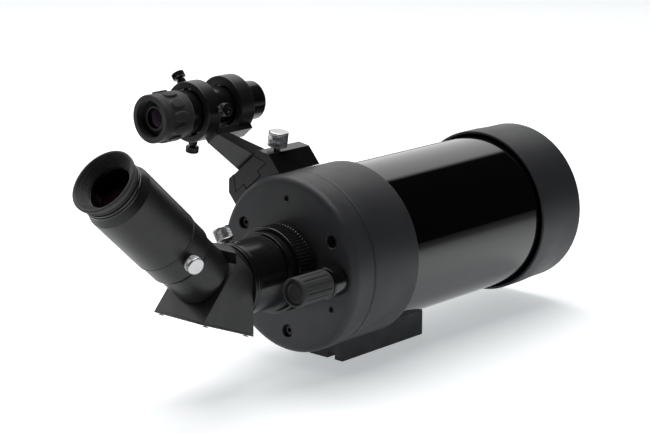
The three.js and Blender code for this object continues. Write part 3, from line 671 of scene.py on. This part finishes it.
def at_screw(node, mesh):
    middle = centre(node) - AXIS
    return moved(mesh, Matrix.Translation((middle.x, 0, middle.z)))


def rear_cover():
    wall = 9
    inside = CELL_R - 3.3
    bore = HUB_R + 0.4
    shell = lathe(
        soft(
            [
                (bore, COVER_REAR, 0.5),
                (CELL_R, COVER_REAR, 4.6),
                (CELL_R, COVER_FRONT, 0.7),
                (inside, COVER_FRONT),
                (inside, wall),
                (bore, wall),
            ],
            0.3,
            8,
        ),
        256,
        step=2.5,
    )
    tools = []
    for i in (1, 2, 3):
        screw = f"cover_screw_{i}"
        tools.append(at_screw(screw, pit(3.9, COVER_REAR, COUNTERBORE_DEPTH, 0.45)))
        tools.append(at_screw(screw, rod(2.1, 1, wall + 1)))
        tools.append(at_screw(f"set_screw_{i}", pit(1.6, COVER_REAR, wall + 1, 0.5, 48)))
    tools.append(moved(rod(5.4, -2, wall + 1), Matrix.Translation(focus_point - AXIS)))
    show("rear_cover", cut(shell, *tools), TUBE)


def rear_cell():
    _, _, front = reach("rear_cell")
    rear = COVER_FRONT + 0.3
    bore = reach("main_tube")[0] + 0.4
    hub_bore = reach("baffle_tube")[0] - 3.6
    outline = [
        (hub_bore, HUB_REAR),
        (HUB_R, HUB_REAR, 0.5),
        (HUB_R, rear),
        (CELL_R, rear, 1.8),
        (CELL_R, front, 1.3),
        (bore, front, 0.3),
        (bore, rear + 12),
        (bore - 3.4, rear + 12),
        (bore - 3.4, rear + 6),
        (hub_bore, rear + 6),
    ]
    show("rear_cell", lathe(soft(outline, 0.3, 4), 256), TUBE)


def front_cell():
    outer, rim, front = reach("front_cell")
    bore = reach("main_tube")[0] + 0.3
    pocket = reach("corrector_lens")[0] + 0.4
    seat = pocket - 2.4
    outline = [
        (bore + 1.3, rim, 0.2),
        (outer, rim, 0.8),
        (outer, rim + 16, 20),
        (outer - 0.6, rim + 28, 20),
        (outer - 0.7, front, 5.6),
        (pocket, front, 0.6),
        (pocket, front - 17),
        (seat, front - 17),
        (seat, front - 19.7),
        (bore, front - 19.7),
        (bore, rim + 7),
        (bore + 1.3, rim + 5.7),
    ]
    show("front_cell", lathe(soft(outline, 0.25, 8), 256), TUBE)


def socket_screw_head(node, place, head_r, socket_r, depth):
    """A socket head screw: a knurled, chamfered head with a hexagonal socket."""
    _, low, high = reach(node, place)
    outline = turned_outline_of_screw(head_r, low, high, depth)
    teeth = 36

    def relief(angle, r, y):
        if r < head_r - 0.05:
            return 0
        return -0.12 * ridge(teeth * angle) * fade(y, low + 0.3, low + depth, 0.2)

    blank = lathe(outline, teeth * 4, relief, 0.5)
    socket = lathe(
        [(0, low - 1), (socket_r, low - 1), (socket_r, low + depth * 0.6), (0, low + depth * 0.75)], 6
    )
    show(node, cut(blank, socket), place)


def turned_outline_of_screw(head_r, low, high, depth):
    shank = head_r * 0.52
    points = [
        (0, low),
        (head_r, low, 0.45),
        (head_r, low + depth, 0.15),
        (shank, low + depth),
        (shank, high, 0.3),
        (0, high),
    ]
    return soft(points, 0.2)


def cover_screws():
    for i in (1, 2, 3):
        socket_screw_head(f"cover_screw_{i}", screw_place(f"cover_screw_{i}"), 3.5, 1.6, 3.6)
        node = f"set_screw_{i}"
        radius, low, high = reach(node, screw_place(node))
        body = lathe(soft([(0, low), (radius, low), (radius, high), (0, high)], 0.2), 48)
        show(node, cut(body, rod(0.7, low - 1, low + 1.5, 6)), screw_place(node))


# ---------------------------------------------------------------- visual back
def ribs(count, depth, outer, low, high):
    """Straight ribs along a knurled ring."""

    def relief(angle, r, y):
        if r < outer - 0.7:
            return 0
        return -depth * ridge(count * angle) * fade(y, low, high, 0.5)

    return relief


def knurl(count, depth, outer, low, high, slant, crossed=True):
    """Slanting ridges round a thumbscrew's head; slant is the turn in radians per millimetre."""

    def relief(angle, r, y):
        if r < outer - 0.1:
            return 0
        one = ridge(count * (angle + slant * y))
        two = ridge(count * (angle - slant * y)) if crossed else 0
        return -depth * max(one, two) * fade(y, low, high, 0.4)

    return relief


def visual_back():
    _, rear, front = reach("visual_back")
    tube_r = reach("diagonal_collar")[0] - 0.6
    bore = reach("diagonal_nosepiece")[0] + 0.28
    shoulder = -21.5
    outline = [
        (bore, rear, 0.5),
        (tube_r, rear, 0.5),
        (tube_r, shoulder, 0.3),
        (tube_r + 2.2, shoulder, 0.4),
        (tube_r + 2.2, front),
        (bore, front),
    ]
    shell = lathe(soft(outline, 0.25, 4), 192, step=2)
    point, axis = joint_line("back_screw_turn")
    hole_place = TUBE.inverted() @ place_along(point - axis * (point.x - AXIS.x) / axis.x, axis)
    show("visual_back", cut(shell, moved(rod(2.2, 10, 30), hole_place)), TUBE)


def visual_back_ring():
    outer, rear, front = reach("visual_back_ring")
    bore = reach("diagonal_collar")[0] + 2
    outline = soft([(bore, rear), (outer, rear, 0.6), (outer, front, 0.6), (bore, front)], 0.2)
    relief = ribs(78, 0.55, outer, rear + 0.7, front - 0.7)
    show("visual_back_ring", lathe(outline, 78 * 6, relief, 0.7), TUBE)


def thumbscrew(node, joint, head_length, shank_r, neck, slant, crossed):
    """A knurled thumbscrew: a flanged neck and a flat-topped head."""
    point, axis = joint_line(joint)
    place = place_along(point, axis)
    outer, tip, top = reach(node, place)
    under = top - head_length
    outline = soft(
        [
            (0, tip),
            (shank_r, tip, 0.4),
            (shank_r, under - neck),
            (outer * 0.72, under - neck, 0.3),
            (outer * 0.72, under, 0.1),
            (outer, under, 0.5),
            (outer, top, 0.8),
            (0, top),
        ],
        0.2,
    )
    teeth = 34
    relief = knurl(teeth, 0.4, outer, under + 0.6, top - 0.9, slant, crossed)
    show(node, lathe(outline, teeth * 8, relief, 0.25), place)


def thumbscrews():
    thumbscrew("visual_back_thumbscrew", "back_screw_turn", 8.3, 1.9, 0.9, 0.14, True)
    thumbscrew("socket_thumbscrew", "socket_screw_turn", 5.0, 1.9, 0.3, 0.16, True)
    thumbscrew("shoe_thumbscrew", "shoe_screw_turn", 9.4, 1.9, 0.4, 0.1, False)


# ---------------------------------------------------------------- focuser
def focus_knob():
    outer, rear, front = reach("focus_knob_grip", FOCUSER)
    flutes = 14
    inner = 6.3

    def relief(angle, r, y):
        if r < outer - 1.2:
            return 0
        hollow = max(0, math.cos(flutes * angle)) ** 2
        return -0.5 * hollow * fade(y, rear + 1.6, front - 1.4, 2.2)

    outline = [
        (7.5, rear, 0.2),
        (outer, rear, 0.9),
        (outer, front, 0.7),
        (inner, front),
        (inner, rear + 3),
        (7.5, rear + 3),
    ]
    show("focus_knob_grip", lathe(soft(outline, 0.2, 4), flutes * 16, relief, 0.8), FOCUSER)
    core_r, core_rear, core_front = reach("focus_knob_core", FOCUSER)
    bore = reach("focus_shaft", FOCUSER)[0] * 0.6 + 0.3
    core = [
        (0, core_rear + 0.5),
        (4.6, core_rear + 0.5, 0.3),
        (4.9, core_rear + 0.1, 0.1),
        (5.6, core_rear + 0.1, 0.1),
        (5.8, core_rear + 0.4, 0.1),
        (core_r, core_rear + 0.4, 0.4),
        (core_r, core_rear + 2.2),
        (inner - 0.3, core_rear + 2.2),
        (inner - 0.3, core_front),
        (bore, core_front),
        (bore, core_rear + 2.8),
        (0, core_rear + 2.8),
    ]
    show("focus_knob_core", lathe(soft(core, 0.15), 96), FOCUSER)


# ---------------------------------------------------------------- dovetail bar
def dovetail_bar():
    low, high = limits("dovetail_bar")
    corner = 3
    steps = 6
    plan = [(low.x, low.y), (high.x, low.y)]
    for k in range(steps + 1):
        turn = math.pi / 2 * k / steps
        reach_x = corner * math.cos(turn)
        plan.append((high.x - corner + reach_x, high.y - corner + corner * math.sin(turn)))
    for k in range(steps + 1):
        turn = math.pi / 2 * (1 + k / steps)
        reach_x = corner * math.cos(turn)
        plan.append((low.x + corner + reach_x, high.y - corner + corner * math.sin(turn)))
    _, _, cell_front = reach("rear_cell")
    tube_r = reach("main_tube")[0]
    bar = along_z(plan, low.z, -47)
    tools = [
        rod(CELL_R + 0.3, low.y - 1, cell_front + 0.3, 256),
        rod(tube_r + 0.3, cell_front - 1, high.y + 1, 256),
    ]
    for side in (-1, 1):
        groove = box_outline(side * 10.5 - 3, side * 10.5 + 3, low.z - 1, low.z + 4)
        tools.append(along_y(groove, low.y - 1, low.y + 16))
    for screw in ("bar_screw_1", "bar_screw_2"):
        middle = (centre(screw) - AXIS) / MM
        tools.append(standing(rod(4, -1, 4.2), 0, middle.y, low.z))
        tools.append(standing(rod(2.3, 3, 9), 0, middle.y, low.z))
    bar_middle = (low.y + high.y) / 2
    for ahead in (13.5, 27.5):
        tools.append(standing(pit(3.2, 0, 8.5, 0.5), 0, bar_middle + ahead, low.z))
    show("dovetail_bar", bevelled(cut(bar, *tools), 0.4, 2), TUBE)


def bar_screws():
    for screw in ("bar_screw_1", "bar_screw_2"):
        middle = centre(screw)
        socket_screw_head(screw, place_along(Vector((middle.x, middle.y, 0)), Z), 3.5, 1.6, 3.2)


# ---------------------------------------------------------------- erecting diagonal
SOCKET_STEP = 1.5  # how much thinner the socket is at its foot than at its collar
TOP_REAR_R = 30.5  # the housing's top is a cone about the optical axis: square at the rear,
TOP_FRONT_R = 21.5  # round at the front
PLATE_THICKNESS = 1.2
HOUSING_LIFT = PLATE_THICKNESS + 0.05  # the housing's underside, above the base plate's
ENTRY_R = 13.5
EXIT_R = 14
DRIVE_DEPTH = 0.35
HALF_WIDTH = limits("diagonal_housing")[1].x


def diagonal_outlines():
    """Side views of the housing and its base plate, as (y, z) points."""
    _, high = limits("diagonal_housing")
    plate_low, plate_high = limits("diagonal_base_plate")
    elbow = (ELBOW - AXIS) / MM
    rise = Vector((RISE.y, RISE.z))
    face = reach("eyepiece_socket", EYEPIECE)[1] - 0.3
    down = math.tan(BASE_TILT)
    front_z = plate_low.z

    def base(y, lift):
        return front_z + lift / math.cos(BASE_TILT) - down * (y - plate_high.y)

    def face_meets(lift):
        # the foot of the sloping face on a line parallel to the base
        start = base(elbow.y, lift) - elbow.z
        along = (face - rise.y * start) / (rise.x - rise.y * down)
        return (elbow.y + along, base(elbow.y + along, lift))

    step_y = elbow.y - 0.1
    step_z = (face - rise.x * (step_y - elbow.y)) / rise.y + elbow.z
    housing = [
        (high.y, base(high.y, HOUSING_LIFT)),
        (high.y, high.z),
        (step_y, high.z),
        (step_y, step_z),
        face_meets(HOUSING_LIFT),
    ]
    plate = [
        (high.y, base(high.y, 0)),
        face_meets(0),
        face_meets(PLATE_THICKNESS),
        (high.y, base(high.y, PLATE_THICKNESS)),
    ]
    return housing, plate


def diagonal():
    housing, plate = diagonal_outlines()
    socket_r, socket_low, _ = reach("eyepiece_socket", EYEPIECE)
    seat = rod(socket_r - SOCKET_STEP + 0.3, socket_low - 0.3, 40, 128)
    exit_hole = rod(EXIT_R, -2, 20)
    to_tube = TUBE.inverted() @ EYEPIECE
    entry = rod(ENTRY_R, housing[0][0] - 6, housing[0][0] + 1)
    front = housing[1][0]
    rear = housing[2][0]
    cone = [
        (0, rear - 1),
        (TOP_REAR_R, rear - 1),
        (TOP_REAR_R, rear),
        (TOP_FRONT_R, front),
        (TOP_FRONT_R, front + 2),
        (0, front + 2),
    ]
    corners = cut(along_y(box_outline(-25, 25, 0, 40), rear - 0.1, front + 1), lathe(cone, 96))
    body = bevelled(cut(along_x(housing, HALF_WIDTH), corners), 0.55, 3)
    body = cut(body, moved(seat, to_tube), moved(exit_hole, to_tube), entry)
    show("diagonal_housing", body, TUBE)
    show("diagonal_base_plate", bevelled(along_x(plate, HALF_WIDTH), 0.25, 2), TUBE)
    base_plate_screws()


def base_plate_screws():
    """Countersunk screws with a cross slot, standing square to the base plate."""
    up = Vector((0, math.sin(BASE_TILT), math.cos(BASE_TILT)))
    slot = box_outline(-0.25, 0.25, -1.1, 1.1)
    other_slot = [(z, x) for x, z in slot]
    for i in range(4):
        node = f"base_plate_screw_{i + 1}"
        place = place_along(centre(node), up)
        radius, low, high = reach(node, place)
        outline = [
            (0, low),
            (radius * 0.75, low, 0.2),
            (radius, low + 0.6, 0.2),
            (0.8, low + 0.6),
            (0.8, high),
            (0, high),
        ]
        screw = lathe(soft(outline, 0.1), 48)
        cross = [along_y(shape, low - 1, low + DRIVE_DEPTH) for shape in (slot, other_slot)]
        show(node, cut(screw, *cross), place)


# ---------------------------------------------------------------- eyepiece
def eyepiece_socket():
    outer, low, high = reach("eyepiece_socket", EYEPIECE)
    bore = reach("eyepiece_barrel", EYEPIECE)[0] + 0.28
    neck = outer - SOCKET_STEP
    outline = [
        (bore, low),
        (neck, low, 0.3),
        (neck, high - 16.5, 0.4),
        (outer, high - 13.5, 0.5),
        (outer, high, 0.5),
        (bore, high, 0.4),
    ]
    shell = lathe(soft(outline, 0.25, 4), 192)
    point, axis = joint_line("socket_screw_turn")
    hole = moved(rod(2.2, -12, 6), EYEPIECE.inverted() @ place_along(point, axis))
    show("eyepiece_socket", cut(shell, hole), EYEPIECE)


def eyepiece_body():
    outer, low, high = reach("eyepiece_body", EYEPIECE)
    outline = [
        (15.4, low),
        (outer, low, 0.6),
        (outer, low + 1.6, 0.1),
        (outer - 0.35, low + 1.9, 0.1),
        (outer, low + 2.2, 0.1),
        (outer, high - 5, 0.6),
        (18.3, high, 0.3),
        (17.8, high),
        (17.8, low + 12),
        (15.4, low + 10),
    ]
    show("eyepiece_body", lathe(soft(outline, 0.2, 4), 192), EYEPIECE)


def eyecup():
    """A flared rubber cup: a waist outside, ridges down the funnel inside."""
    outer, low, high = reach("eyecup", EYEPIECE)
    inner = 13.4
    outline = [
        (inner, low),
        (18.2, low, 0.3),
        (17.5, low + 1.8, 0.7),
        (outer - 0.1, low + 5.2, 0.8),
        (outer, high, 0.5),
        (outer - 1.1, high, 0.35),
    ]
    ridges = 6
    top = Vector((outer - 1.6, high - 0.4))
    bottom = Vector((inner, low + 1.4))
    for k in range(ridges):
        for part, depth in ((0.1, 0.0), (0.45, 0.0), (0.6, 0.55), (0.95, 0.55)):
            spot = top.lerp(bottom, (k + part) / ridges)
            outline.append((spot.x + depth * 0.7, spot.y - depth * 0.7, 0.12))
    outline.append((inner, low + 1.0, 0.1))
    show("eyecup", lathe(soft(outline, 0.2), 192), EYEPIECE)


def eyepiece_top_ring():
    outer, low, high = reach("eyepiece_top_ring", EYEPIECE)
    bore = 13.2
    collar = high - 3.2
    outline = [
        (bore, low),
        (17.5, low),
        (17.5, collar, 0.1),
        (outer, collar, 0.3),
        (outer - 0.1, high - 1.9, 0.2),
        (outer - 0.6, high - 1.6, 0.2),
        (outer - 0.4, high, 0.4),
        (bore, high, 0.4),
    ]
    show("eyepiece_top_ring", lathe(soft(outline, 0.2), 192), EYEPIECE)


# ---------------------------------------------------------------- finder
# Heights above the optical axis, and (half width, height) corners, in the finder's leaning frame.
FOOT_TOP = 70.5
FOOT_BASE = 61.4
STEM = 57.8
BEVEL_LOW = (22.5, 64.2)
BEVEL_TOP = (16.8, 70.7)
RING_R = limits("finder_bracket", LEAN)[1].z - FINDER_HEIGHT
FRONT_RING = (18, 29.5)  # rear and front ends of the bracket's front ring


def finder_shoe():
    low, high = limits("finder_shoe", LEAN)
    right = [(8.2, 57.3), (8.2, 61), (17.6, 61), (11.6, BEVEL_TOP[1]), BEVEL_TOP, BEVEL_LOW, (22.5, 50)]
    body = along_y(mirrored(right), low.y, high.y)
    tools = [rod(CELL_R + 0.3, low.y - 1, high.y + 1, 256)]
    for screw in ("shoe_screw_1", "shoe_screw_2"):
        spot = (LEAN.inverted() @ centre(screw)) / MM
        tools.append(standing(rod(3.3, 57.4, 63), spot.x, spot.y, 0))
    point, axis = joint_line("shoe_screw_turn")
    tools.append(moved(rod(2.2, -8, 8), LEAN.inverted() @ place_along(point, axis)))
    show("finder_shoe", bevelled(cut(body, *tools), 0.45, 3), LEAN)
    for screw in ("shoe_screw_1", "shoe_screw_2"):
        down = LEAN.to_3x3() @ Vector((0, 0, -1))
        socket_screw_head(screw, place_along(centre(screw), down), 2.9, 1.3, 2.6)


def finder_bracket():
    low, high = limits("finder_bracket", LEAN)
    shoe_low, _ = limits("finder_shoe", LEAN)
    foot = mirrored([(7.8, STEM), (7.8, FOOT_BASE), (17.2, FOOT_BASE), (11.2, FOOT_TOP)])
    rear_ring = (low.y, low.y + 11)
    arm = [(15, 69.5), (28.3, 69.5), (25, 74), (6.5, 92), (-2.4, 92)]
    taper = mirrored([(9.6, 68.5), (9.6, FOOT_TOP), (5.6, 93)])
    spine = along_y(box_outline(-5.5, 5.5, 91.5, 96), rear_ring[1] - 3, FRONT_RING[1] - 1)
    bracket = joined(
        bevelled(along_y(foot, shoe_low.y, high.y), 0.45),
        bevelled(combined(along_x(arm, 10), "INTERSECT", along_y(taper, -10, 40)), 0.6),
        bevelled(spine, 0.6),
    )
    up = Matrix.Translation((0, 0, FINDER_HEIGHT * MM))
    for rear, front in (rear_ring, FRONT_RING):
        disc = lathe(soft([(0, rear), (RING_R, rear, 0.6), (RING_R, front, 0.6), (0, front)], 0.6, 4), 160)
        bracket = joined(bracket, moved(disc, up))
    wide = [
        (0, rear_ring[0] - 1),
        (15.8, rear_ring[0] - 1),
        (14.8, rear_ring[0] + 0.5),
        (14.8, 8),
        (0, 8),
    ]
    narrow = [
        (0, 8),
        (14.8, 8),
        (14.8, FRONT_RING[0] - 0.4),
        (13.3, FRONT_RING[0] + 0.4),
        (13.3, FRONT_RING[1] - 0.5),
        (14.3, FRONT_RING[1] + 1),
        (0, FRONT_RING[1] + 1),
    ]
    tools = [moved(lathe(outline, 160), up) for outline in (wide, narrow)]
    for i in (1, 2, 3):
        place = finder_screw_place(i)
        tools.append(moved(rod(2, 10, 22, 48), LEAN.inverted() @ place))
    show("finder_bracket", cut(bracket, *tools), LEAN)


def finder_screw_place(i):
    """A frame on the finder's axis, pointing out along an adjusting screw."""
    axis = Vector(joints[f"adjuster_{i}_slide"]["axis"])
    middle = centre(f"finder_screw_{i}")
    on_axis = Vector((tilt_point.x, middle.y, tilt_point.z))
    return place_along(on_axis, axis)


def finder_screws():
    for i in (1, 2, 3):
        node = f"finder_screw_{i}"
        place = finder_screw_place(i)
        outer, tip, top = reach(node, place)
        under = RING_R + 4.2
        outline = [
            (0, tip),
            (1.6, tip, 0.3),
            (1.6, RING_R + 1),
            (2.8, RING_R + 1, 0.2),
            (2.8, RING_R + 3, 0.2),
            (2, RING_R + 3.5),
            (2, under),
            (outer, under + 0.3, 0.3),
            (outer, top, 0.5),
            (outer * 0.45, top, 0.2),
            (outer * 0.35, top - 0.5),
            (0, top - 0.5),
        ]
        relief = ribs(24, 0.4, outer, under + 0.5, top - 0.4)
        show(node, lathe(soft(outline, 0.15), 24 * 6, relief, 0.45), place)


def finder_grip():
    """The rubber eye end: a rounded rim, a groove, and a band of raised oval pads."""
    outer, rear, front = reach("finder_grip", FINDER)
    base = outer - 0.7
    bore = reach("finder_tube", FINDER)[0] + 0.3
    pads = 11
    pad_y = rear + 12.4
    pad_half_length = 5.8
    pad_half_turn = 0.4 * TURN / pads
    height = 1.2

    def relief(angle, r, y):
        if r < base - 0.1 or y < rear + 5.5:
            return 0
        turn = math.remainder(angle, TURN / pads) / pad_half_turn
        along = (y - pad_y) / pad_half_length
        edge = 1 - (abs(turn) ** 2.6 + abs(along) ** 2.6) ** (1 / 2.6)
        edge = min(max(edge / 0.22, 0), 1)
        return height * edge * edge * (3 - 2 * edge)

    outline = [
        (11.6, rear, 0.2),
        (12.2, rear, 0.2),
        (14.9, rear, 0.7),
        (14.9, rear + 4, 0.5),
        (14.1, rear + 4.8, 0.5),
        (base, rear + 5.8, 0.6),
        (base, front - 1.2, 0.6),
        (base - 0.6, front, 0.4),
        (bore, front),
        (bore, rear + 8.6),
        (11.6, rear + 8.6),
    ]
    show("finder_grip", lathe(soft(outline, 0.2, 4), pads * 30, relief, 0.5), FINDER)


def finder_tube():
    """The finder's stepped tube, with a thin groove behind its objective."""
    outer, rear, front = reach("finder_tube", FINDER)
    slim = outer - 1.2
    bore = slim - 1.4
    step_y = 5
    groove_y = 31
    outline = [
        (bore, rear),
        (outer, rear),
        (outer, step_y, 0.6),
        (slim, step_y + 1.5, 0.6),
        (slim, groove_y, 0.2),
        (slim - 0.45, groove_y + 0.5, 0.1),
        (slim - 0.45, groove_y + 1.4, 0.1),
        (slim, groove_y + 1.9, 0.2),
        (slim, front - 0.6, 0.3),
        (slim - 0.5, front, 0.3),
        (bore, front, 0.3),
    ]
    show("finder_tube", lathe(soft(outline, 0.2), 160), FINDER, "black_anodised")


# ---------------------------------------------------------------- the pieces
rear_cover()
rear_cell()
front_cell()
cover_screws()
for turned_node in ("main_tube", "corrector_lens", "corrector_retainer", "primary_mirror"):
    show_turned(turned_node, TUBE, 256)
for turned_node in ("secondary_mirror", "secondary_baffle", "baffle_tube", "mirror_retainer"):
    show_turned(turned_node, TUBE, 128)
for turned_node in ("diagonal_nosepiece", "diagonal_collar"):
    show_turned(turned_node, TUBE, 192)
for turned_node in ("focus_shaft", "focus_bushing"):
    show_turned(turned_node, FOCUSER, 96)
for turned_node in ("eyepiece_barrel", "field_lens", "lens_spacer", "eye_lens"):
    show_turned(turned_node, EYEPIECE, 160)
for turned_node in ("finder_objective", "finder_oring", "finder_eye_cell", "finder_eye_lens"):
    show_turned(turned_node, FINDER, 128)
visual_back()
visual_back_ring()
thumbscrews()
focus_knob()
dovetail_bar()
bar_screws()
diagonal()
eyepiece_socket()
eyepiece_body()
eyecup()
eyepiece_top_ring()
finder_shoe()
finder_bracket()
finder_screws()
finder_grip()
finder_tube()

# The prism and the mirror's carrier keep their CAD shapes.
for kept in ("diagonal_prism", "mirror_carrier"):
    cad = frame["nodes"][kept]
    cad.data.materials.clear()
    cad.data.materials.append(looks[slot_of[kept]])


# ---------------------------------------------------------------- studio
# Painted light and shade on the floor: how much it glows to the camera, its glow to everything else fading
# from NEAR to FAR, and its painted shade from DARKENS_FROM to DARK_BY
CAMERA_GLOW = 0.47
NEAR_GLOW = 0.34
FAR_GLOW = 0.02
NEAR = 0.15
FAR = 0.9
DARKENS_FROM = 0.25
DARK_BY = 0.7


def floor():
    """A wide pale floor just under the bar."""
    size = 6
    bm = bmesh.new()
    corners = [(-size, -size), (size, -size), (size, size), (-size, size)]
    bm.faces.new([bm.verts.new((x, y, 0)) for x, y in corners])
    sheet = bpy.data.objects.new("floor", finished(bm, "floor"))
    sheet.location = (0, 0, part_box("dovetail_bar")[0].z - MM * 0.5)
    scene.collection.objects.link(sheet)
    look = Look("floor", (0.86, 0.865, 0.87), 0.6)
    look.tint(look.noise(400, 2), (0.9, 0.9, 0.9))
    # painted light: it glows to the camera, as an overexposed one does, which lifts and blue-tints the
    # shadows on it, and round the telescope to everything else, a painted bounce that fades with distance
    distance = look.nodes.new("ShaderNodeVectorMath")
    distance.operation = "LENGTH"
    look.links.new(look.coords, distance.inputs[0])
    mix = look.nodes.new("ShaderNodeMix")
    mix.data_type = "FLOAT"
    look.links.new(look.nodes.new("ShaderNodeLightPath").outputs["Is Camera Ray"], mix.inputs["Factor"])
    look.links.new(look.ranged(distance.outputs["Value"], NEAR, FAR, NEAR_GLOW, FAR_GLOW), mix.inputs["A"])
    mix.inputs["B"].default_value = CAMERA_GLOW
    # painted shade: away from the telescope it is darker, though not to the camera, which darkens its
    # reflection in the tube
    away = look.ranged(distance.outputs["Value"], DARKENS_FROM, DARK_BY, 0, 1)
    painted_far_shade = look.nodes.new("ShaderNodeMath")
    painted_far_shade.operation = "SUBTRACT"
    look.links.new(away, painted_far_shade.inputs[0])
    look.links.new(look.nodes.new("ShaderNodeLightPath").outputs["Is Camera Ray"], painted_far_shade.inputs[1])
    look.tint(painted_far_shade.outputs["Value"], (0.25, 0.25, 0.25), 0, 1)
    look.set("Emission Color", (0.94, 0.98, 1, 1))
    look.links.new(mix.outputs["Result"], look.shader.inputs["Emission Strength"])
    sheet.data.materials.append(look.material)


def area_light(name, spot, aim, size, power, color=(1, 1, 1)):
    data = bpy.data.lights.new(name, "AREA")
    data.shape = "RECTANGLE"
    data.size, data.size_y = size
    data.energy = power
    data.color = color
    lamp = bpy.data.objects.new(name, data)
    lamp.location = spot
    lamp.rotation_euler = (Vector(aim) - Vector(spot)).to_track_quat("-Z", "Y").to_euler()
    scene.collection.objects.link(lamp)
    return lamp


AIM = AXIS + Vector((0.0126, 0.0206, 0.0287))
AZIMUTH = math.radians(41.8)
ELEVATION = math.radians(13.7)
DISTANCE = 1.169
LENS = 107.06


def camera():
    data = bpy.data.cameras.new("camera")
    data.lens = LENS
    data.sensor_width = 36
    eye = bpy.data.objects.new("camera", data)
    back = Vector(
        (
            math.sin(AZIMUTH) * math.cos(ELEVATION),
            -math.cos(AZIMUTH) * math.cos(ELEVATION),
            math.sin(ELEVATION),
        )
    )
    eye.location = AIM + back * DISTANCE
    eye.rotation_euler = back.to_track_quat("Z", "Y").to_euler()
    scene.collection.objects.link(eye)
    scene.camera = eye


def world():
    """White to the camera; to everything else, a bright wall on the left and behind, dark elsewhere."""
    sky = bpy.data.worlds.new("studio")
    scene.world = sky
    sky.use_nodes = True
    nodes = sky.node_tree.nodes
    links = sky.node_tree.links
    coords = nodes.new("ShaderNodeTexCoord")
    split = nodes.new("ShaderNodeSeparateXYZ")
    links.new(coords.outputs["Generated"], split.inputs[0])

    def step(value, low, high, top):
        ramp = nodes.new("ShaderNodeMapRange")
        ramp.interpolation_type = "SMOOTHSTEP"
        ramp.inputs["From Min"].default_value = low
        ramp.inputs["From Max"].default_value = high
        ramp.inputs["To Max"].default_value = top
        links.new(value, ramp.inputs["Value"])
        return ramp.outputs["Result"]

    wall = nodes.new("ShaderNodeMath")
    wall.operation = "MULTIPLY_ADD"
    links.new(step(split.outputs["X"], -0.12, -0.22, 1.0), wall.inputs[0])
    links.new(step(split.outputs["Y"], -0.5, 0.2, 0.95), wall.inputs[1])
    wall.inputs[2].default_value = 0.01
    path = nodes.new("ShaderNodeLightPath")
    mix = nodes.new("ShaderNodeMix")
    mix.data_type = "FLOAT"
    links.new(path.outputs["Is Camera Ray"], mix.inputs["Factor"])
    links.new(wall.outputs["Value"], mix.inputs["A"])
    mix.inputs["B"].default_value = 1.0
    links.new(mix.outputs["Result"], nodes["Background"].inputs["Strength"])
    nodes["Background"].inputs["Color"].default_value = (1, 1, 1, 1)


floor()
camera()
world()
scene.view_settings.view_transform = "Standard"
area_light("overhead", (-0.3, 0.1, 1.6), (0, 0.05, 0.05), (1.4, 1.8), 24)
area_light("left", (-1.5, -0.9, 0.9), (0, 0, 0.06), (0.8, 1.2), 5)
